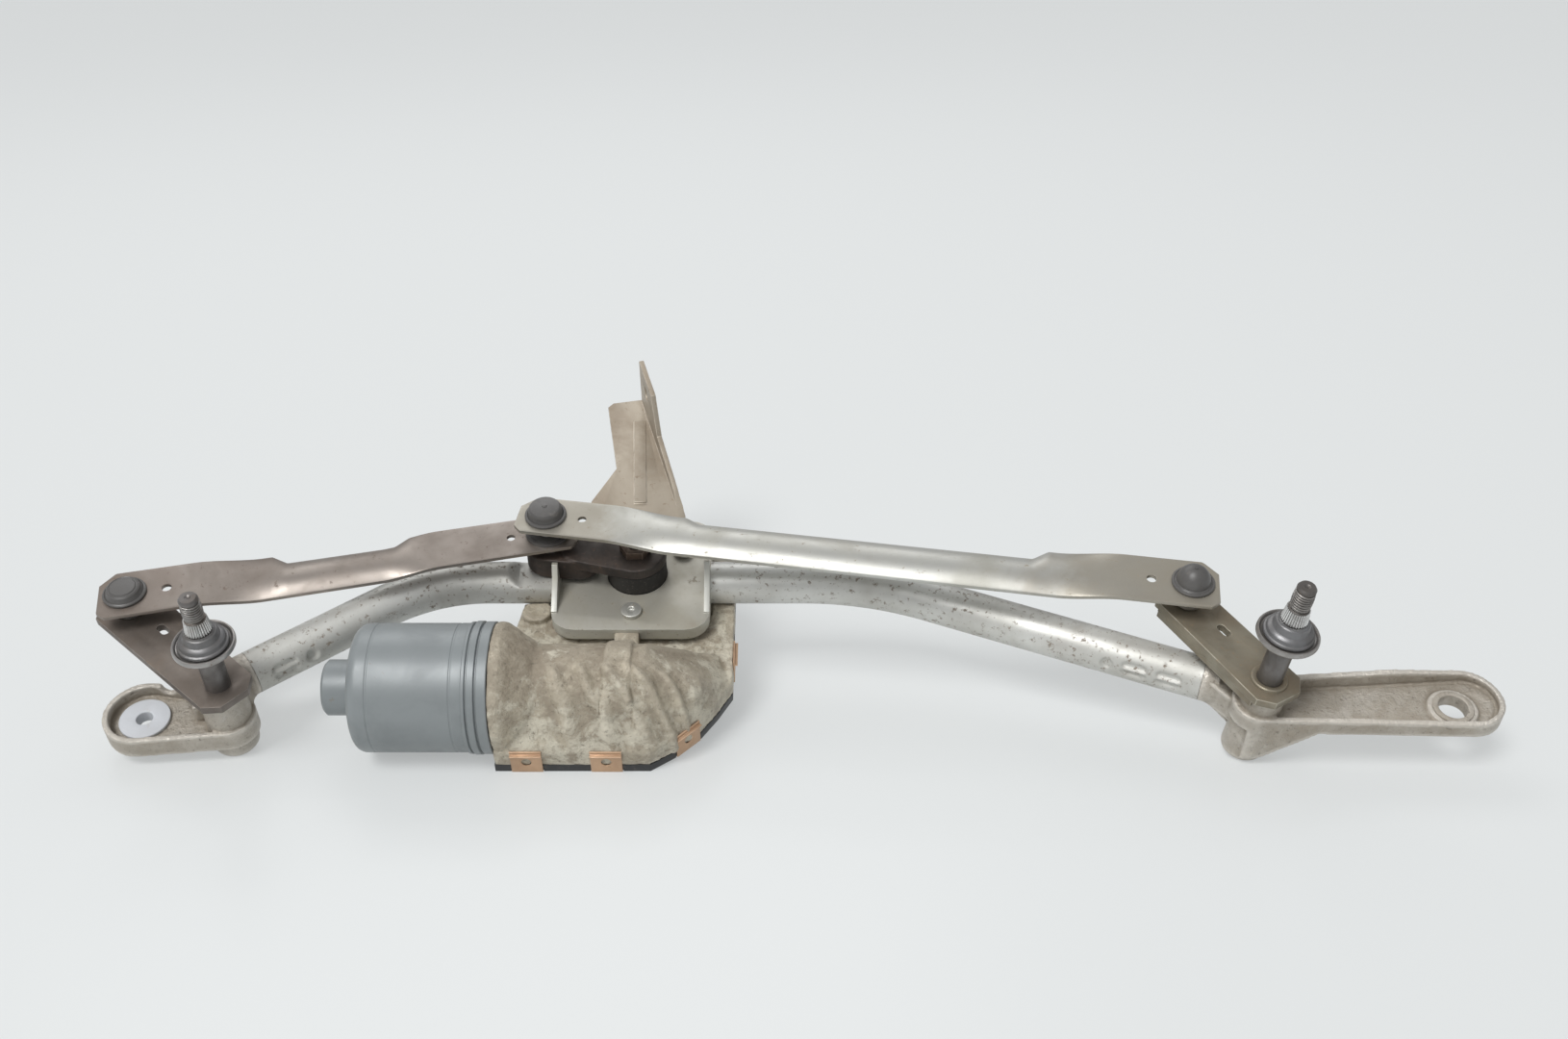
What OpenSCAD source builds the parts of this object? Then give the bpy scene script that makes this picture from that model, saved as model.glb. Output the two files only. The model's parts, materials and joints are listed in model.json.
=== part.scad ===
// Wiper linkage: a tube frame with two pivot housings, a reversing gear motor and a tandem linkage.
// Sizes are in millimetres and degrees. Every piece is drawn in the linkage frame, whose origin is
// on the motor's output shaft: X to the right, Y to the back, Z along the shaft. The assembly is
// then tilted and lifted until the two barrels and the gear cover rest on the plane Z = 0.

/* [Linkage] */
// Output shaft to left spindle, sideways
left_reach = 204.5; // [190:0.5:230]
// Output shaft to left spindle, towards the front
left_drop = 92.1; // [85:0.1:100]
// Output shaft to right spindle, sideways
right_reach = 322; // [300:1:345]
// Output shaft to right spindle, towards the front
right_drop = 96.5; // [88:0.5:105]
// Crank length between shaft and ball stud
crank_len = 47.8; // [42:0.1:50]
// Parked direction of the crank
crank_park = 172.8; // [168:0.1:178]
// Left arm length between spindle and ball stud
left_arm_len = 78.4; // [70:0.1:86]
// Parked direction of the left arm
left_park = 138.6; // [130:0.1:146]
// Right arm length between spindle and ball stud
right_arm_len = 60.9; // [55:0.1:68]
// Parked direction of the right arm
right_park = 121.8; // [114:0.1:128]
// Lean of the right spindle towards the right end
right_lean = 4.4; // [0:0.1:6]

/* [Links and arms] */
// Height of the left link's ball centres
low_ball_h = 58.5; // [57:0.5:62]
// Height of the right link's ball centres
high_ball_h = 71; // [70:0.5:75]
// Radius of the link balls
ball_r = 6.5; // [5.5:0.1:7]
// Sheet thickness of the links
link_t = 2; // [1.5:0.1:2.5]
// Width of a link between its ends
link_mid_w = 23; // [20:0.5:26]
// Width of a link's wide pad at an arm
pad_w = 32; // [28:0.5:36]
// Width of a link's pad at the crank
crank_pad_w = 27; // [25:0.5:30]
// Length of a link's flat pads
pad_len = 74; // [60:1:80]
// Depth of the folded edges of a link
fold_depth = 4.5; // [3:0.5:5]
// Thickness of the arms
arm_t = 4.5; // [3.5:0.1:6]
// Width of the arms at the spindle
arm_w = 30; // [28:0.5:36]
// Height of the left arm's top face
left_arm_top = 48.5; // [46:0.5:50]

/* [Spindles] */
// Radius of the spindle's journal
spindle_r = 6.3; // [5:0.1:7.5]
// Radius of the spindle's M10 thread
thread_r = 5; // [4:0.1:6]
// Length of the spindle's thread
thread_len = 14; // [10:0.5:18]
// Length of the knurled cone
knurl_len = 8.5; // [6:0.5:11]
// Radius of the dished washer
washer_r = 15.5; // [13:0.5:17]
// Left washer seat above the arm
left_washer_h = 28; // [25:0.5:32]
// Right washer seat above the arm
right_washer_h = 31.5; // [28:0.5:35]

/* [Pivot housings] */
// Radius of the left barrel
left_barrel_r = 11.7; // [10:0.1:14]
// Radius of the right barrel
right_barrel_r = 11.2; // [10:0.1:14]
// Height of the left barrel's foot
left_foot_h = 3.5; // [2:0.5:5]
// Left spindle to left fixing hole, sideways
left_lug_reach = 45; // [42:0.5:54]
// Radius of the left lug
left_lug_r = 20; // [18:0.5:23]
// Height of the left lug's floor
left_lug_h = 13; // [10:0.5:18]
// Right spindle to right fixing hole, sideways
right_lug_reach = 96.5; // [85:0.5:105]
// Radius of the right lug
right_lug_r = 18; // [17:0.5:21]
// Height of the right lug's floor
right_lug_h = 31; // [29:0.5:33]
// Thickness of a lug's floor
lug_floor = 5; // [4:0.5:7]
// Height of the left lug's raised rim over its floor
left_rim = 7; // [4:0.5:8]
// Height of the right lug's rim over its floor, at the back
back_rim = 9.5; // [7:0.5:10]
// Height of the right lug's rim over its floor, at the front and the round end
front_rim = 4; // [3:0.5:6]
// Thickness of a lug's rim
rim_t = 3; // [2.5:0.1:4]
// Radius of the fixing holes in the lugs
fixing_hole_r = 8.5; // [7:0.1:10]
// Radius of the bore in the left and rear fixing
fixing_bore_r = 4.25; // [3:0.05:5]
// Radius of the bore in the right lug's lining ring
right_bore_r = 7.4; // [6:0.05:7.5]

/* [Tube frame] */
// Outer diameter of the frame tubes
tube_d = 23; // [20:0.5:25]
// Wall of the frame tubes
tube_wall = 2; // [1.5:0.1:3]
// Height of the tubes' centre line
tube_h = 32; // [31:0.5:34]
// Bend radius of the left tube
left_bend_r = 90; // [60:1:110]
// Bend radius of the right tube
right_bend_r = 180; // [120:5:220]
// Length of a housing's spigot inside its tube
spigot_len = 38; // [30:1:45]

/* [Motor bracket] */
// Thickness of the bracket's sheet
sheet_t = 3; // [2:0.1:3.5]
// Height of the bracket plate's top face
plate_h = 35; // [34:0.5:36]
// Shaft to the bracket's left wall, outer face
left_wall_x = 44.5; // [42:0.5:47]
// Shaft to the bracket's right wall, outer face
right_wall_x = 40.5; // [38:0.5:43]
// Shaft to the plate's front edge
plate_front = 42; // [41:0.1:42.5]
// Shaft to the plate's rear edge
plate_back = 42; // [40:0.5:50]
// Radius of the plate's hole round the shaft neck
neck_hole_r = 16.5; // [16:0.1:18]
// Radius of the circle of motor screws
screw_circle_r = 29.5; // [28:0.1:31]
// Shaft to the rear bracket's far edge
rear_reach = 156; // [140:1:170]
// Height of the rear tab above the rear bracket
tab_rise = 34; // [28:1:40]

/* [Motor] */
// Output shaft to motor axis
motor_offset = 83.7; // [82.5:0.1:85]
// Height of the motor axis
motor_h = 36.3; // [35:0.1:38]
// Outer radius of the motor can
can_r = 33; // [31:0.5:34]
// Wall of the motor can
can_wall = 2; // [1.5:0.1:2.5]
// Length of the motor can
can_len = 76; // [72:1:84]
// Radius of the bearing boss on the can
boss_r = 14.3; // [12:0.1:16]
// Length of the bearing boss on the can
boss_len = 12; // [9:0.5:15]
// Radius of the armature shaft
armature_shaft_r = 3.5; // [3:0.1:3.6]
// Radius of the output shaft
shaft_r = 6; // [5:0.1:6.5]
// Shaft to the housing's front face
housing_front = 115.6; // [114:0.1:118]
// Outer radius of the gear chamber
chamber_r = 53.5; // [52.5:0.1:56]
// Wall of the gear housing
housing_wall = 4; // [3:0.1:4.5]

/* [Gears] */
// Teeth of the worm wheel on the idler
wheel_teeth = 20; // [19:1:20]
// Module of the worm wheel
wheel_module = 0.85; // [0.8:0.05:0.85]
// Teeth of the idler's pinion
pinion_teeth = 31; // [31:1:33]
// Teeth of the output gear
gear_teeth = 62; // [60:1:63]

/* [Rest] */
// Tilt of the linkage plane when it lies on its barrels and gear cover
rest_tilt = 18.1; // [16:0.1:20]

/* [Hidden] */
$fn = 48;
hull_fn = 32;

// Fits and clearances
running = 0.04;
seat = 0.1;
gap = 0.3;
tooth_thin = 0.4;

// Pivots in the linkage plane
crank_pin = polar(crank_len, crank_park);
left_axis = [-left_reach, -left_drop];
right_axis = [right_reach, -right_drop];
left_pin = left_axis + polar(left_arm_len, left_park);
right_arm_dir = polar(right_arm_len, right_park);

// Right arm: its ball is as high as the crank's upper ball
stud_rise = 11.5;
right_arm_top = high_ball_h - stud_rise * cos(right_lean) + right_arm_dir.x * sin(right_lean);
right_pin = right_axis + [right_arm_dir.x * cos(right_lean) + stud_rise * sin(right_lean), right_arm_dir.y];

// Rest: the left barrel's rounded foot touches the table
foot_round = 3;
rest_z = foot_round + (left_drop + left_barrel_r - foot_round) * sin(rest_tilt)
    - (left_foot_h + foot_round) * cos(rest_tilt);
function resting_h(front) = (front * sin(rest_tilt) - rest_z) / cos(rest_tilt);
cover_h = resting_h(housing_front);
right_foot_h = (foot_round - rest_z + (right_drop + right_barrel_r - foot_round) * sin(rest_tilt))
    / cos(rest_tilt) - foot_round;

// Left and right ends of the frame, and the front and back of the resting assembly
left_lug = left_axis + [-left_lug_reach, 1.6];
right_lug = right_axis + [right_lug_reach, -2];
tray_past = 8.5;
tray_back = 4;
right_tray_end = right_lug + [tray_past, tray_back];
link_overhang = 17.3;
left_end = left_pin.x - link_overhang;
right_end = right_tray_end.x + right_lug_r;
right_tip = right_washer_h + 12 + knurl_len + thread_len;
left_tip = left_washer_h + 12 + knurl_len + thread_len;
front_end = -right_drop * cos(rest_tilt) - (right_arm_top + right_tip) * sin(rest_tilt)
    - thread_r * cos(rest_tilt);
rear_h = plate_h - sheet_t;
back_end = rear_reach * cos(rest_tilt) - (rear_h - sheet_t) * sin(rest_tilt);
rest_x = -(left_end + right_end) / 2;
rest_y = -(front_end + back_end) / 2;

// Tubes: end, bend and bracket points in the plane at tube_h
tube_r = tube_d / 2;
bore_r = tube_r - tube_wall;
tube_y = -4;
left_tube_end = left_axis + [8, 22.4];
left_tube_bend = [-112, tube_y];
right_tube_end = right_axis + [-24.5, 22.8];
right_tube_bend = [126.5, tube_y];
bend_draw = 0.15;
bend_lap = 1;
crank_clear_h = plate_h + 2.6;
flat_len = 17.5;

// Crank heights
crank_low = plate_h + 4;
crank_top = crank_low + 13;
crank_plate_t = 6.5;
crank_end_r = 13;
crank_boss_r = 16.5;

// Motor axis lies along X at this place, and the can starts at the housing's flange
motor_y = -motor_offset;
flange_x = -66.5;
can_end_x = flange_x - can_len;
flange_r = can_r + 0.5;

// Gear housing heights
cover_t = 2.5;
rim_low = cover_h + 5;
roof_in = cover_h + 10.4;
roof_h = cover_h + 14.9;
tunnel_r = 22.3;
chamber_in_r = chamber_r - housing_wall;
clip_w = 16;
clip_lift = 0.35;
neck_r = 12.5;
neck_h = crank_low + 4.5;

// Gear train: worm, idler with worm wheel and pinion, output gear
worm_r = 4.8;
worm_starts = 1;
wheel_r = wheel_teeth * wheel_module / 2;
idler_y = motor_y + worm_r + wheel_r;
spur_module = -2 * idler_y / (pinion_teeth + gear_teeth);
pinion_r = spur_module * pinion_teeth / 2;
gear_r = spur_module * gear_teeth / 2;
gear_t = 5;
gear_h = cover_h + cover_t + 1.8;
wheel_w = 5;
wheel_h = motor_h - wheel_w / 2;
wheel_bay_r = wheel_r + wheel_module + 0.7;
wheel_bay_h = motor_h + wheel_w / 2 + 0.6;
bay_wall = 1.9;
lead = worm_starts * PI * wheel_module;
worm_len = 16;
tail_x = 26;

// Ball joints
socket_r = ball_r + 3.3;
cap_flange_r = 12;

// Plain helpers
function polar(r, a) = [r * cos(a), r * sin(a)];
function unit(v) = v / norm(v);
function heading(v) = atan2(v.y, v.x);
function lift(p, h) = [p.x, p.y, h];

// Two discs joined by a bar whose sides are tucked just inside their outer tangents
module taper(p, rp, q, rq) {
    tuck = 0.05;
    a = heading(q - p);
    b = acos((rp - rq) / norm(q - p));
    translate(p) circle(rp);
    translate(q) circle(rq);
    polygon([
        p + polar(rp - tuck, a + b), q + polar(rq - tuck, a + b),
        q + polar(rq - tuck, a - b), p + polar(rp - tuck, a - b)
    ]);
}

// Flat bar along X with chamfered corners
module chamfered_bar(x0, w0, x1, w1, cut) {
    polygon([
        [x0, -w0 / 2 + cut], [x0 + cut, -w0 / 2], [x1 - cut, -w1 / 2], [x1, -w1 / 2 + cut],
        [x1, w1 / 2 - cut], [x1 - cut, w1 / 2], [x0 + cut, w0 / 2], [x0, w0 / 2 - cut]
    ]);
}

module tilt_to_rest() {
    translate([rest_x, rest_y, rest_z]) rotate([rest_tilt, 0, 0]) children();
}

// Pivot frames: Z = 0 on the arm's top face, X along the parked arm
module left_pivot() {
    tilt_to_rest() translate(lift(left_axis, left_arm_top)) rotate(left_park) children();
}

module right_pivot() {
    tilt_to_rest() translate(lift(right_axis, right_arm_top)) rotate([0, right_lean, 0])
        rotate(right_park) children();
}

// Motor frame: Z along the motor axis towards the right, Z = 0 below the output shaft
module along_motor(x = 0) {
    translate([x, motor_y, motor_h]) rotate([0, 90, 0]) children();
}

module motor_axis(x = 0) {
    tilt_to_rest() along_motor(x) children();
}

module ring(outer, inner, height) {
    difference() {
        cylinder(h = height, r = outer);
        translate([0, 0, -1]) cylinder(h = height + 2, r = inner);
    }
}

// Tubes

// Where the bend of a tube from p over b to q starts and ends, and its turning angle
function bend_turn(p, b, q) = heading(q - b) - heading(b - p);
function bend_tangent(p, b, q, bend_r) = bend_r * tan(abs(bend_turn(p, b, q)) / 2);

// Straight tube length from p to q, longer by the lap that runs into the bend
module straight_tube(p, q) {
    translate(lift(p, tube_h)) rotate([0, 90, heading(q - p)])
        ring_between(tube_r, bore_r, norm(q - p) + bend_lap);
}

// Ring whose bore ends exactly with it
module ring_between(outer, inner, height) {
    rotate_extrude() translate([inner, 0]) square([outer - inner, height]);
}

// Bent length of tube between the two straight lengths, its wall drawn a little thinner
module bent_tube(p, b, q, bend_r) {
    turn = bend_turn(p, b, q);
    side = sign(turn);
    first = unit(b - p);
    centre = b - bend_tangent(p, b, q, bend_r) * first + side * bend_r * [-first.y, first.x];
    translate(lift(centre, tube_h)) rotate(heading(first) - side * 90 + min(turn, 0))
        rotate_extrude(angle = abs(turn)) translate([bend_r, 0]) difference() {
            circle(tube_r - bend_draw);
            circle(bore_r + bend_draw);
        }
}

// Pressed marks that lock a tube on its spigot: slots along the tube and one round dimple
module crimp_marks(end, toward, slots, facing) {
    depth = tube_wall * 0.5;
    translate(lift(end, tube_h)) rotate([0, 90, heading(toward - end)]) rotate(facing) {
        for (x = slots) {
            for (side = [-1, 1])
                translate([tube_r - depth, side * 3 - 1, x]) cube([tube_r, 2, 11]);
        }
        translate([tube_r - depth, 0, max(slots) + 19]) rotate([0, 90, 0]) cylinder(h = tube_r, r = 3);
    }
}

module left_tube() {
    wall = [-left_wall_x, tube_y];
    reach = bend_tangent(left_tube_end, left_tube_bend, wall, left_bend_r);
    flat_x = wall.x - flat_len;
    color("lightgray") tilt_to_rest() {
        difference() {
            straight_tube(left_tube_end, left_tube_bend - reach * unit(left_tube_bend - left_tube_end));
            crimp_marks(left_tube_end, left_tube_bend, [9], 100);
        }
        bent_tube(left_tube_end, left_tube_bend, wall, left_bend_r);
        difference() {
            union() {
                straight_tube(wall, left_tube_bend + [reach, 0]);
                translate([flat_x - tube_wall, wall.y, tube_h]) rotate([0, 90, 0]) intersection() {
                    cylinder(h = flat_len + tube_wall, r = tube_r);
                    translate([-tube_r, -tube_r, 0])
                        cube([tube_r - crank_clear_h + tube_h + tube_wall, tube_d, flat_len + tube_wall]);
                }
            }
            translate([flat_x, wall.y - tube_d, crank_clear_h]) cube([flat_len + 1, 2 * tube_d, tube_r]);
        }
    }
}

module right_tube() {
    wall = [right_wall_x, tube_y];
    reach = bend_tangent(right_tube_end, right_tube_bend, wall, right_bend_r);
    color("lightgray") tilt_to_rest() {
        difference() {
            straight_tube(right_tube_end, right_tube_bend - reach * unit(right_tube_bend - right_tube_end));
            crimp_marks(right_tube_end, right_tube_bend, [7, 21], -100);
        }
        bent_tube(right_tube_end, right_tube_bend, wall, right_bend_r);
        straight_tube(wall, right_tube_bend - [reach, 0]);
    }
}

// Pivot housings

// Round barrel with a rounded foot, standing on z = 0
module barrel(r, height) {
    rotate_extrude() {
        square([r - foot_round, height]);
        translate([0, foot_round]) square([r, height - foot_round]);
        translate([r - foot_round, foot_round]) circle(foot_round);
    }
}

// Tray with a raised rim between a lug's round end and its barrel
module lug_tray(lug, lug_r, barrel_p, barrel_r, rise) {
    difference() {
        linear_extrude(lug_floor + rise) taper(lug, lug_r, barrel_p, barrel_r);
        translate([0, 0, lug_floor])
            linear_extrude(rise + 1) taper(lug, lug_r - rim_t, barrel_p, barrel_r - rim_t);
    }
}

shoulder = 9;

// Web between a barrel and the shoulder of its spigot
module neck_web(axis, end, bend) {
    web_t = 15;
    translate([0, 0, tube_h - web_t / 2]) linear_extrude(web_t)
        taper(axis, left_barrel_r - 2.4, end + shoulder / 2 * unit(end - bend), 8);
}

// Round spigot inside a tube's end, with its shoulder against the tube
module spigot(end, bend) {
    translate(lift(end, tube_h)) rotate([0, 90, heading(bend - end)]) {
        translate([0, 0, -shoulder]) cylinder(h = shoulder, r = tube_r);
        cylinder(h = spigot_len, r = bore_r - seat);
    }
}

barrel_wall_r = spindle_r + 2;
lug_boss = 1.5;

module left_pivot_housing() {
    top = left_arm_top - arm_t - gap;
    color("tan") tilt_to_rest() difference() {
        union() {
            translate(lift(left_axis, left_foot_h)) barrel(left_barrel_r, top - left_foot_h);
            neck_web(left_axis, left_tube_end, left_tube_bend);
            spigot(left_tube_end, left_tube_bend);
            difference() {
                translate([0, 0, left_lug_h])
                    lug_tray(left_lug, left_lug_r, left_axis, left_barrel_r + 2, left_rim);
                translate(lift(left_lug + [9, left_lug_r], left_lug_h + lug_floor + left_rim))
                    rotate([90, 0, 0]) cylinder(h = 2 * rim_t + 4, r = 4, center = true);
            }
            translate(lift((left_lug + left_axis) / 2 + [4, 0], left_lug_h)) cube([14, rim_t, 16]);
        }
        translate(lift(left_lug, left_lug_h - 1)) cylinder(h = lug_floor + 2, r = fixing_hole_r);
        translate(lift(left_axis, left_foot_h + 5)) cylinder(h = top, r = barrel_wall_r);
    }
}

// Right tray: its rim is high along the back, and low along the front and round the end
module right_tray(barrel_p, barrel_r) {
    floor_h = right_lug_h + lug_floor;
    low = right_lug_h - 1;
    front = right_tray_end.y - right_lug_r - 1;
    back = right_tray_end.y + right_lug_r + 1;
    left = barrel_p.x - 2 * barrel_r;
    slope_len = 60;
    intersection() {
        translate([0, 0, right_lug_h]) lug_tray(right_tray_end, right_lug_r, barrel_p, barrel_r, back_rim);
        translate([left, 0, 0]) rotate([90, 0, 90]) linear_extrude(right_end + 1 - left)
            polygon([[front, low], [back, low], [back, floor_h + back_rim], [front, floor_h + front_rim]]);
        translate([0, back, 0]) rotate([90, 0, 0]) linear_extrude(back - front)
            polygon([
                [left, low], [right_end + 1, low], [right_end + 1, floor_h + front_rim],
                [right_end - slope_len, floor_h + back_rim], [left, floor_h + back_rim - 1.5]
            ]);
    }
}

// Skirt that joins the right tray's walls to the barrel, down to just above its foot
module right_skirt(barrel_p, barrel_r) {
    skirt_len = 30;
    low = right_foot_h + foot_round + 1;
    high = right_lug_h + 0.5;
    intersection() {
        translate([0, 0, low]) linear_extrude(high - low) difference() {
            taper(right_tray_end, right_lug_r, barrel_p, barrel_r);
            taper(right_tray_end, right_lug_r - rim_t, barrel_p, barrel_r - rim_t);
        }
        translate(lift(barrel_p, 0)) rotate([90, 0, 0]) linear_extrude(4 * right_lug_r, center = true)
            polygon([[-6, low], [4, low + 3], [skirt_len, high], [-6, high]]);
    }
}

// Upright rib under a neck web, from the barrel's foot to the spigot's shoulder
module neck_rib(axis, end, low) {
    run = norm(end - axis);
    translate(lift(axis, 0)) rotate([90, 0, heading(end - axis)])
        linear_extrude(rim_t, center = true)
            polygon([[0, low], [run, tube_h - tube_r + 1], [run, tube_h], [0, tube_h]]);
}

module right_pivot_housing() {
    top = -arm_t - gap;
    foot = right_foot_h - right_arm_top;
    base_p = right_axis - [(right_arm_top - right_lug_h) * tan(right_lean), 0];
    base_r = right_barrel_r + 2;
    color("tan") difference() {
        union() {
            right_pivot() translate([0, 0, foot]) barrel(right_barrel_r, top - foot);
            tilt_to_rest() {
                neck_web(base_p, right_tube_end, right_tube_bend);
                neck_rib(base_p, right_tube_end, right_foot_h + foot_round + 2);
                spigot(right_tube_end, right_tube_bend);
                right_tray(base_p, base_r);
                right_skirt(base_p, base_r);
                translate(lift(right_lug, right_lug_h))
                    cylinder(h = lug_floor + lug_boss, r = fixing_hole_r + 4);
            }
        }
        tilt_to_rest() translate(lift(right_lug, right_lug_h - 1))
            cylinder(h = lug_floor + 4, r = fixing_hole_r);
        right_pivot() translate([0, 0, foot + 5]) cylinder(h = top - foot, r = barrel_wall_r);
    }
}

// Bush or lining ring in a lug's fixing hole, with a flange on the lug's floor or boss
module lug_bush(lug, floor_h, bore_r, flange_r, seat_h, flange_t) {
    tilt_to_rest() translate(lift(lug, floor_h)) difference() {
        union() {
            cylinder(h = seat_h, r = fixing_hole_r - seat);
            translate([0, 0, seat_h]) cylinder(h = flange_t, r = flange_r);
        }
        translate([0, 0, -1]) cylinder(h = seat_h + flange_t + 2, r = bore_r);
    }
}

module left_lug_grommet() {
    color("gainsboro") lug_bush(left_lug, left_lug_h, fixing_bore_r, fixing_hole_r + 4.5, lug_floor, 2);
}

module right_lug_bush() {
    color("gray")
        lug_bush(right_lug, right_lug_h, right_bore_r, fixing_hole_r + 1.8, lug_floor + lug_boss, 1);
}

// Pair of sintered bushes at the two ends of a barrel's bore
module barrel_bushes(low, high) {
    bush_len = 10;
    for (z = [low, high - bush_len])
        translate([0, 0, z]) ring(barrel_wall_r - seat, spindle_r + running, bush_len);
}

module left_barrel_bushes() {
    color("peru") left_pivot() barrel_bushes(left_foot_h + 5 - left_arm_top, -arm_t - gap);
}

module right_barrel_bushes() {
    color("peru") right_pivot() barrel_bushes(right_foot_h + 5 - right_arm_top, -arm_t - gap);
}

// Motor bracket

screw_angles = [-93, 35, 145];

plate_corner_r = 13;
lip_low = plate_h - sheet_t - 4.5;
notch_left = -10;
notch_right = 3.5;
lip_end = plate_corner_r + 3;

function corner_points(centre, r, start) = [for (i = [0 : 5]) centre + polar(r, start + 18 * i)];

// Outline of the plate, with round corners, drawn inwards by inset
module bracket_plate_outline(inset = 0) {
    r = plate_corner_r - inset;
    left = -left_wall_x + plate_corner_r;
    right = right_wall_x - plate_corner_r;
    front = -plate_front + plate_corner_r;
    back = plate_back - plate_corner_r;
    polygon(concat(
        corner_points([left, front], r, 180), corner_points([right, front], r, 270),
        corner_points([right, back], r, 0), corner_points([left, back], r, 90)
    ));
}

// Band along the plate's front edge, where the lip is turned down
module lip_band(outer, inner, side) {
    difference() {
        bracket_plate_outline(outer);
        bracket_plate_outline(inner);
        translate([-left_wall_x - 10, -plate_front + lip_end]) square([2 * left_wall_x + 20, 2 * plate_back]);
        translate([notch_left + side, -plate_front - 10]) square([notch_right - notch_left - 2 * side, 20]);
    }
}

// Upright wall at one side of the bracket, seen from the side as (Y, Z)
module bracket_wall(rise) {
    rotate([90, 0, 90]) linear_extrude(sheet_t) polygon([
        [-plate_front + 12, plate_h - sheet_t - 3], [-plate_front + 12, plate_h + 1],
        [tube_y - tube_r, plate_h + rise * 0.6], [tube_y - 7, plate_h + rise],
        [tube_y - 5, plate_h + rise], [tube_y - 5, crank_clear_h], [tube_y + tube_r, crank_clear_h],
        [tube_y + tube_r, tube_h - tube_r + 1], [tube_y - tube_r, tube_h - tube_r + 1]
    ]);
}

module motor_bracket() {
    color("silver") tilt_to_rest() difference() {
        union() {
            translate([0, 0, plate_h - sheet_t]) linear_extrude(sheet_t) bracket_plate_outline();
            translate([-left_wall_x, 0, 0]) bracket_wall(17.5);
            translate([right_wall_x - sheet_t, 0, 0]) bracket_wall(20);
            translate([0, 0, lip_low]) linear_extrude(plate_h - lip_low - 1) lip_band(0, sheet_t, 0);
        }
        translate([0, 0, plate_h - sheet_t - 1]) cylinder(h = sheet_t + 2, r = neck_hole_r);
        for (a = screw_angles)
            translate(lift(polar(screw_circle_r, a), plate_h - sheet_t - 1))
                cylinder(h = sheet_t + 2, r = 3.2);
    }
}

// Rear arm of the bracket: a tapering plate under the bracket plate, with an upright tab
module rear_bracket() {
    top = rear_h;
    tab_hole_r = 4.25;
    tab_run = [-29, rear_reach - plate_back - 8];
    tab_len = norm(tab_run);
    color("rosybrown") tilt_to_rest() difference() {
        union() {
            translate([0, 0, top - sheet_t]) linear_extrude(sheet_t) polygon([
                [-31, plate_back - 20], [-31, plate_back + 20], [-18.6, rear_reach - 65],
                [-28, rear_reach - 8], [-25, rear_reach - 4], [-5, rear_reach], [24, plate_back + 8],
                [24, plate_back - 20]
            ]);
            translate([24, plate_back + 8, top - sheet_t]) rotate(heading(tab_run))
                translate([0, sheet_t, 0]) rotate([90, 0, 0]) linear_extrude(sheet_t) polygon([
                    [0, 0], [tab_len - 1, 0], [tab_len - 1, tab_rise], [tab_len - 35.9, tab_rise],
                    [tab_len - 47.9, 12], [20, 7]
                ]);
            translate([-6, plate_back + 18, top - 1]) rotate(4) cube([7, rear_reach - plate_back - 40, 2.2]);
        }
        translate([24, plate_back + 8, top - sheet_t]) rotate(heading(tab_run))
            translate([tab_len - 18.9, 0, tab_rise - 12]) rotate([90, 0, 0])
                cylinder(h = 20, r = tab_hole_r, center = true);
        translate([0, 0, top - sheet_t - 1]) cylinder(h = sheet_t + 2, r = neck_hole_r + 6);
        for (a = screw_angles)
            translate(lift(polar(screw_circle_r, a), top - sheet_t - 1)) cylinder(h = sheet_t + 2, r = 8);
    }
}

module bracket_screws() {
    head_t = 2.4;
    for (a = screw_angles)
        color("dimgray") tilt_to_rest() translate(lift(polar(screw_circle_r, a), plate_h)) {
            difference() {
                cylinder(h = head_t, r = 5.5);
                translate([0, 0, 0.9]) cylinder(h = head_t, r = 2, $fn = 6);
            }
            translate([0, 0, -sheet_t - 8]) cylinder(h = sheet_t + 8, r = 2.5);
        }
}

// Gear housing and cover

// Outline of the housing's rim, with its faceted front right corner
front_corner = [[12.5, -housing_front], [24.4, -107.4], [37.9, -94.1], [46, -81.8], [chamber_r, -68]];

module rim_outline() {
    circle(chamber_r);
    polygon(concat(
        [[flange_x, -housing_front]], front_corner,
        [[chamber_r, 0], [-chamber_r + 1, 0], [-62, -12], [flange_x, -40]]
    ));
}

// Room in front of the tubes for the slanting edge of the bracket's walls
wall_slot = 5;

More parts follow.
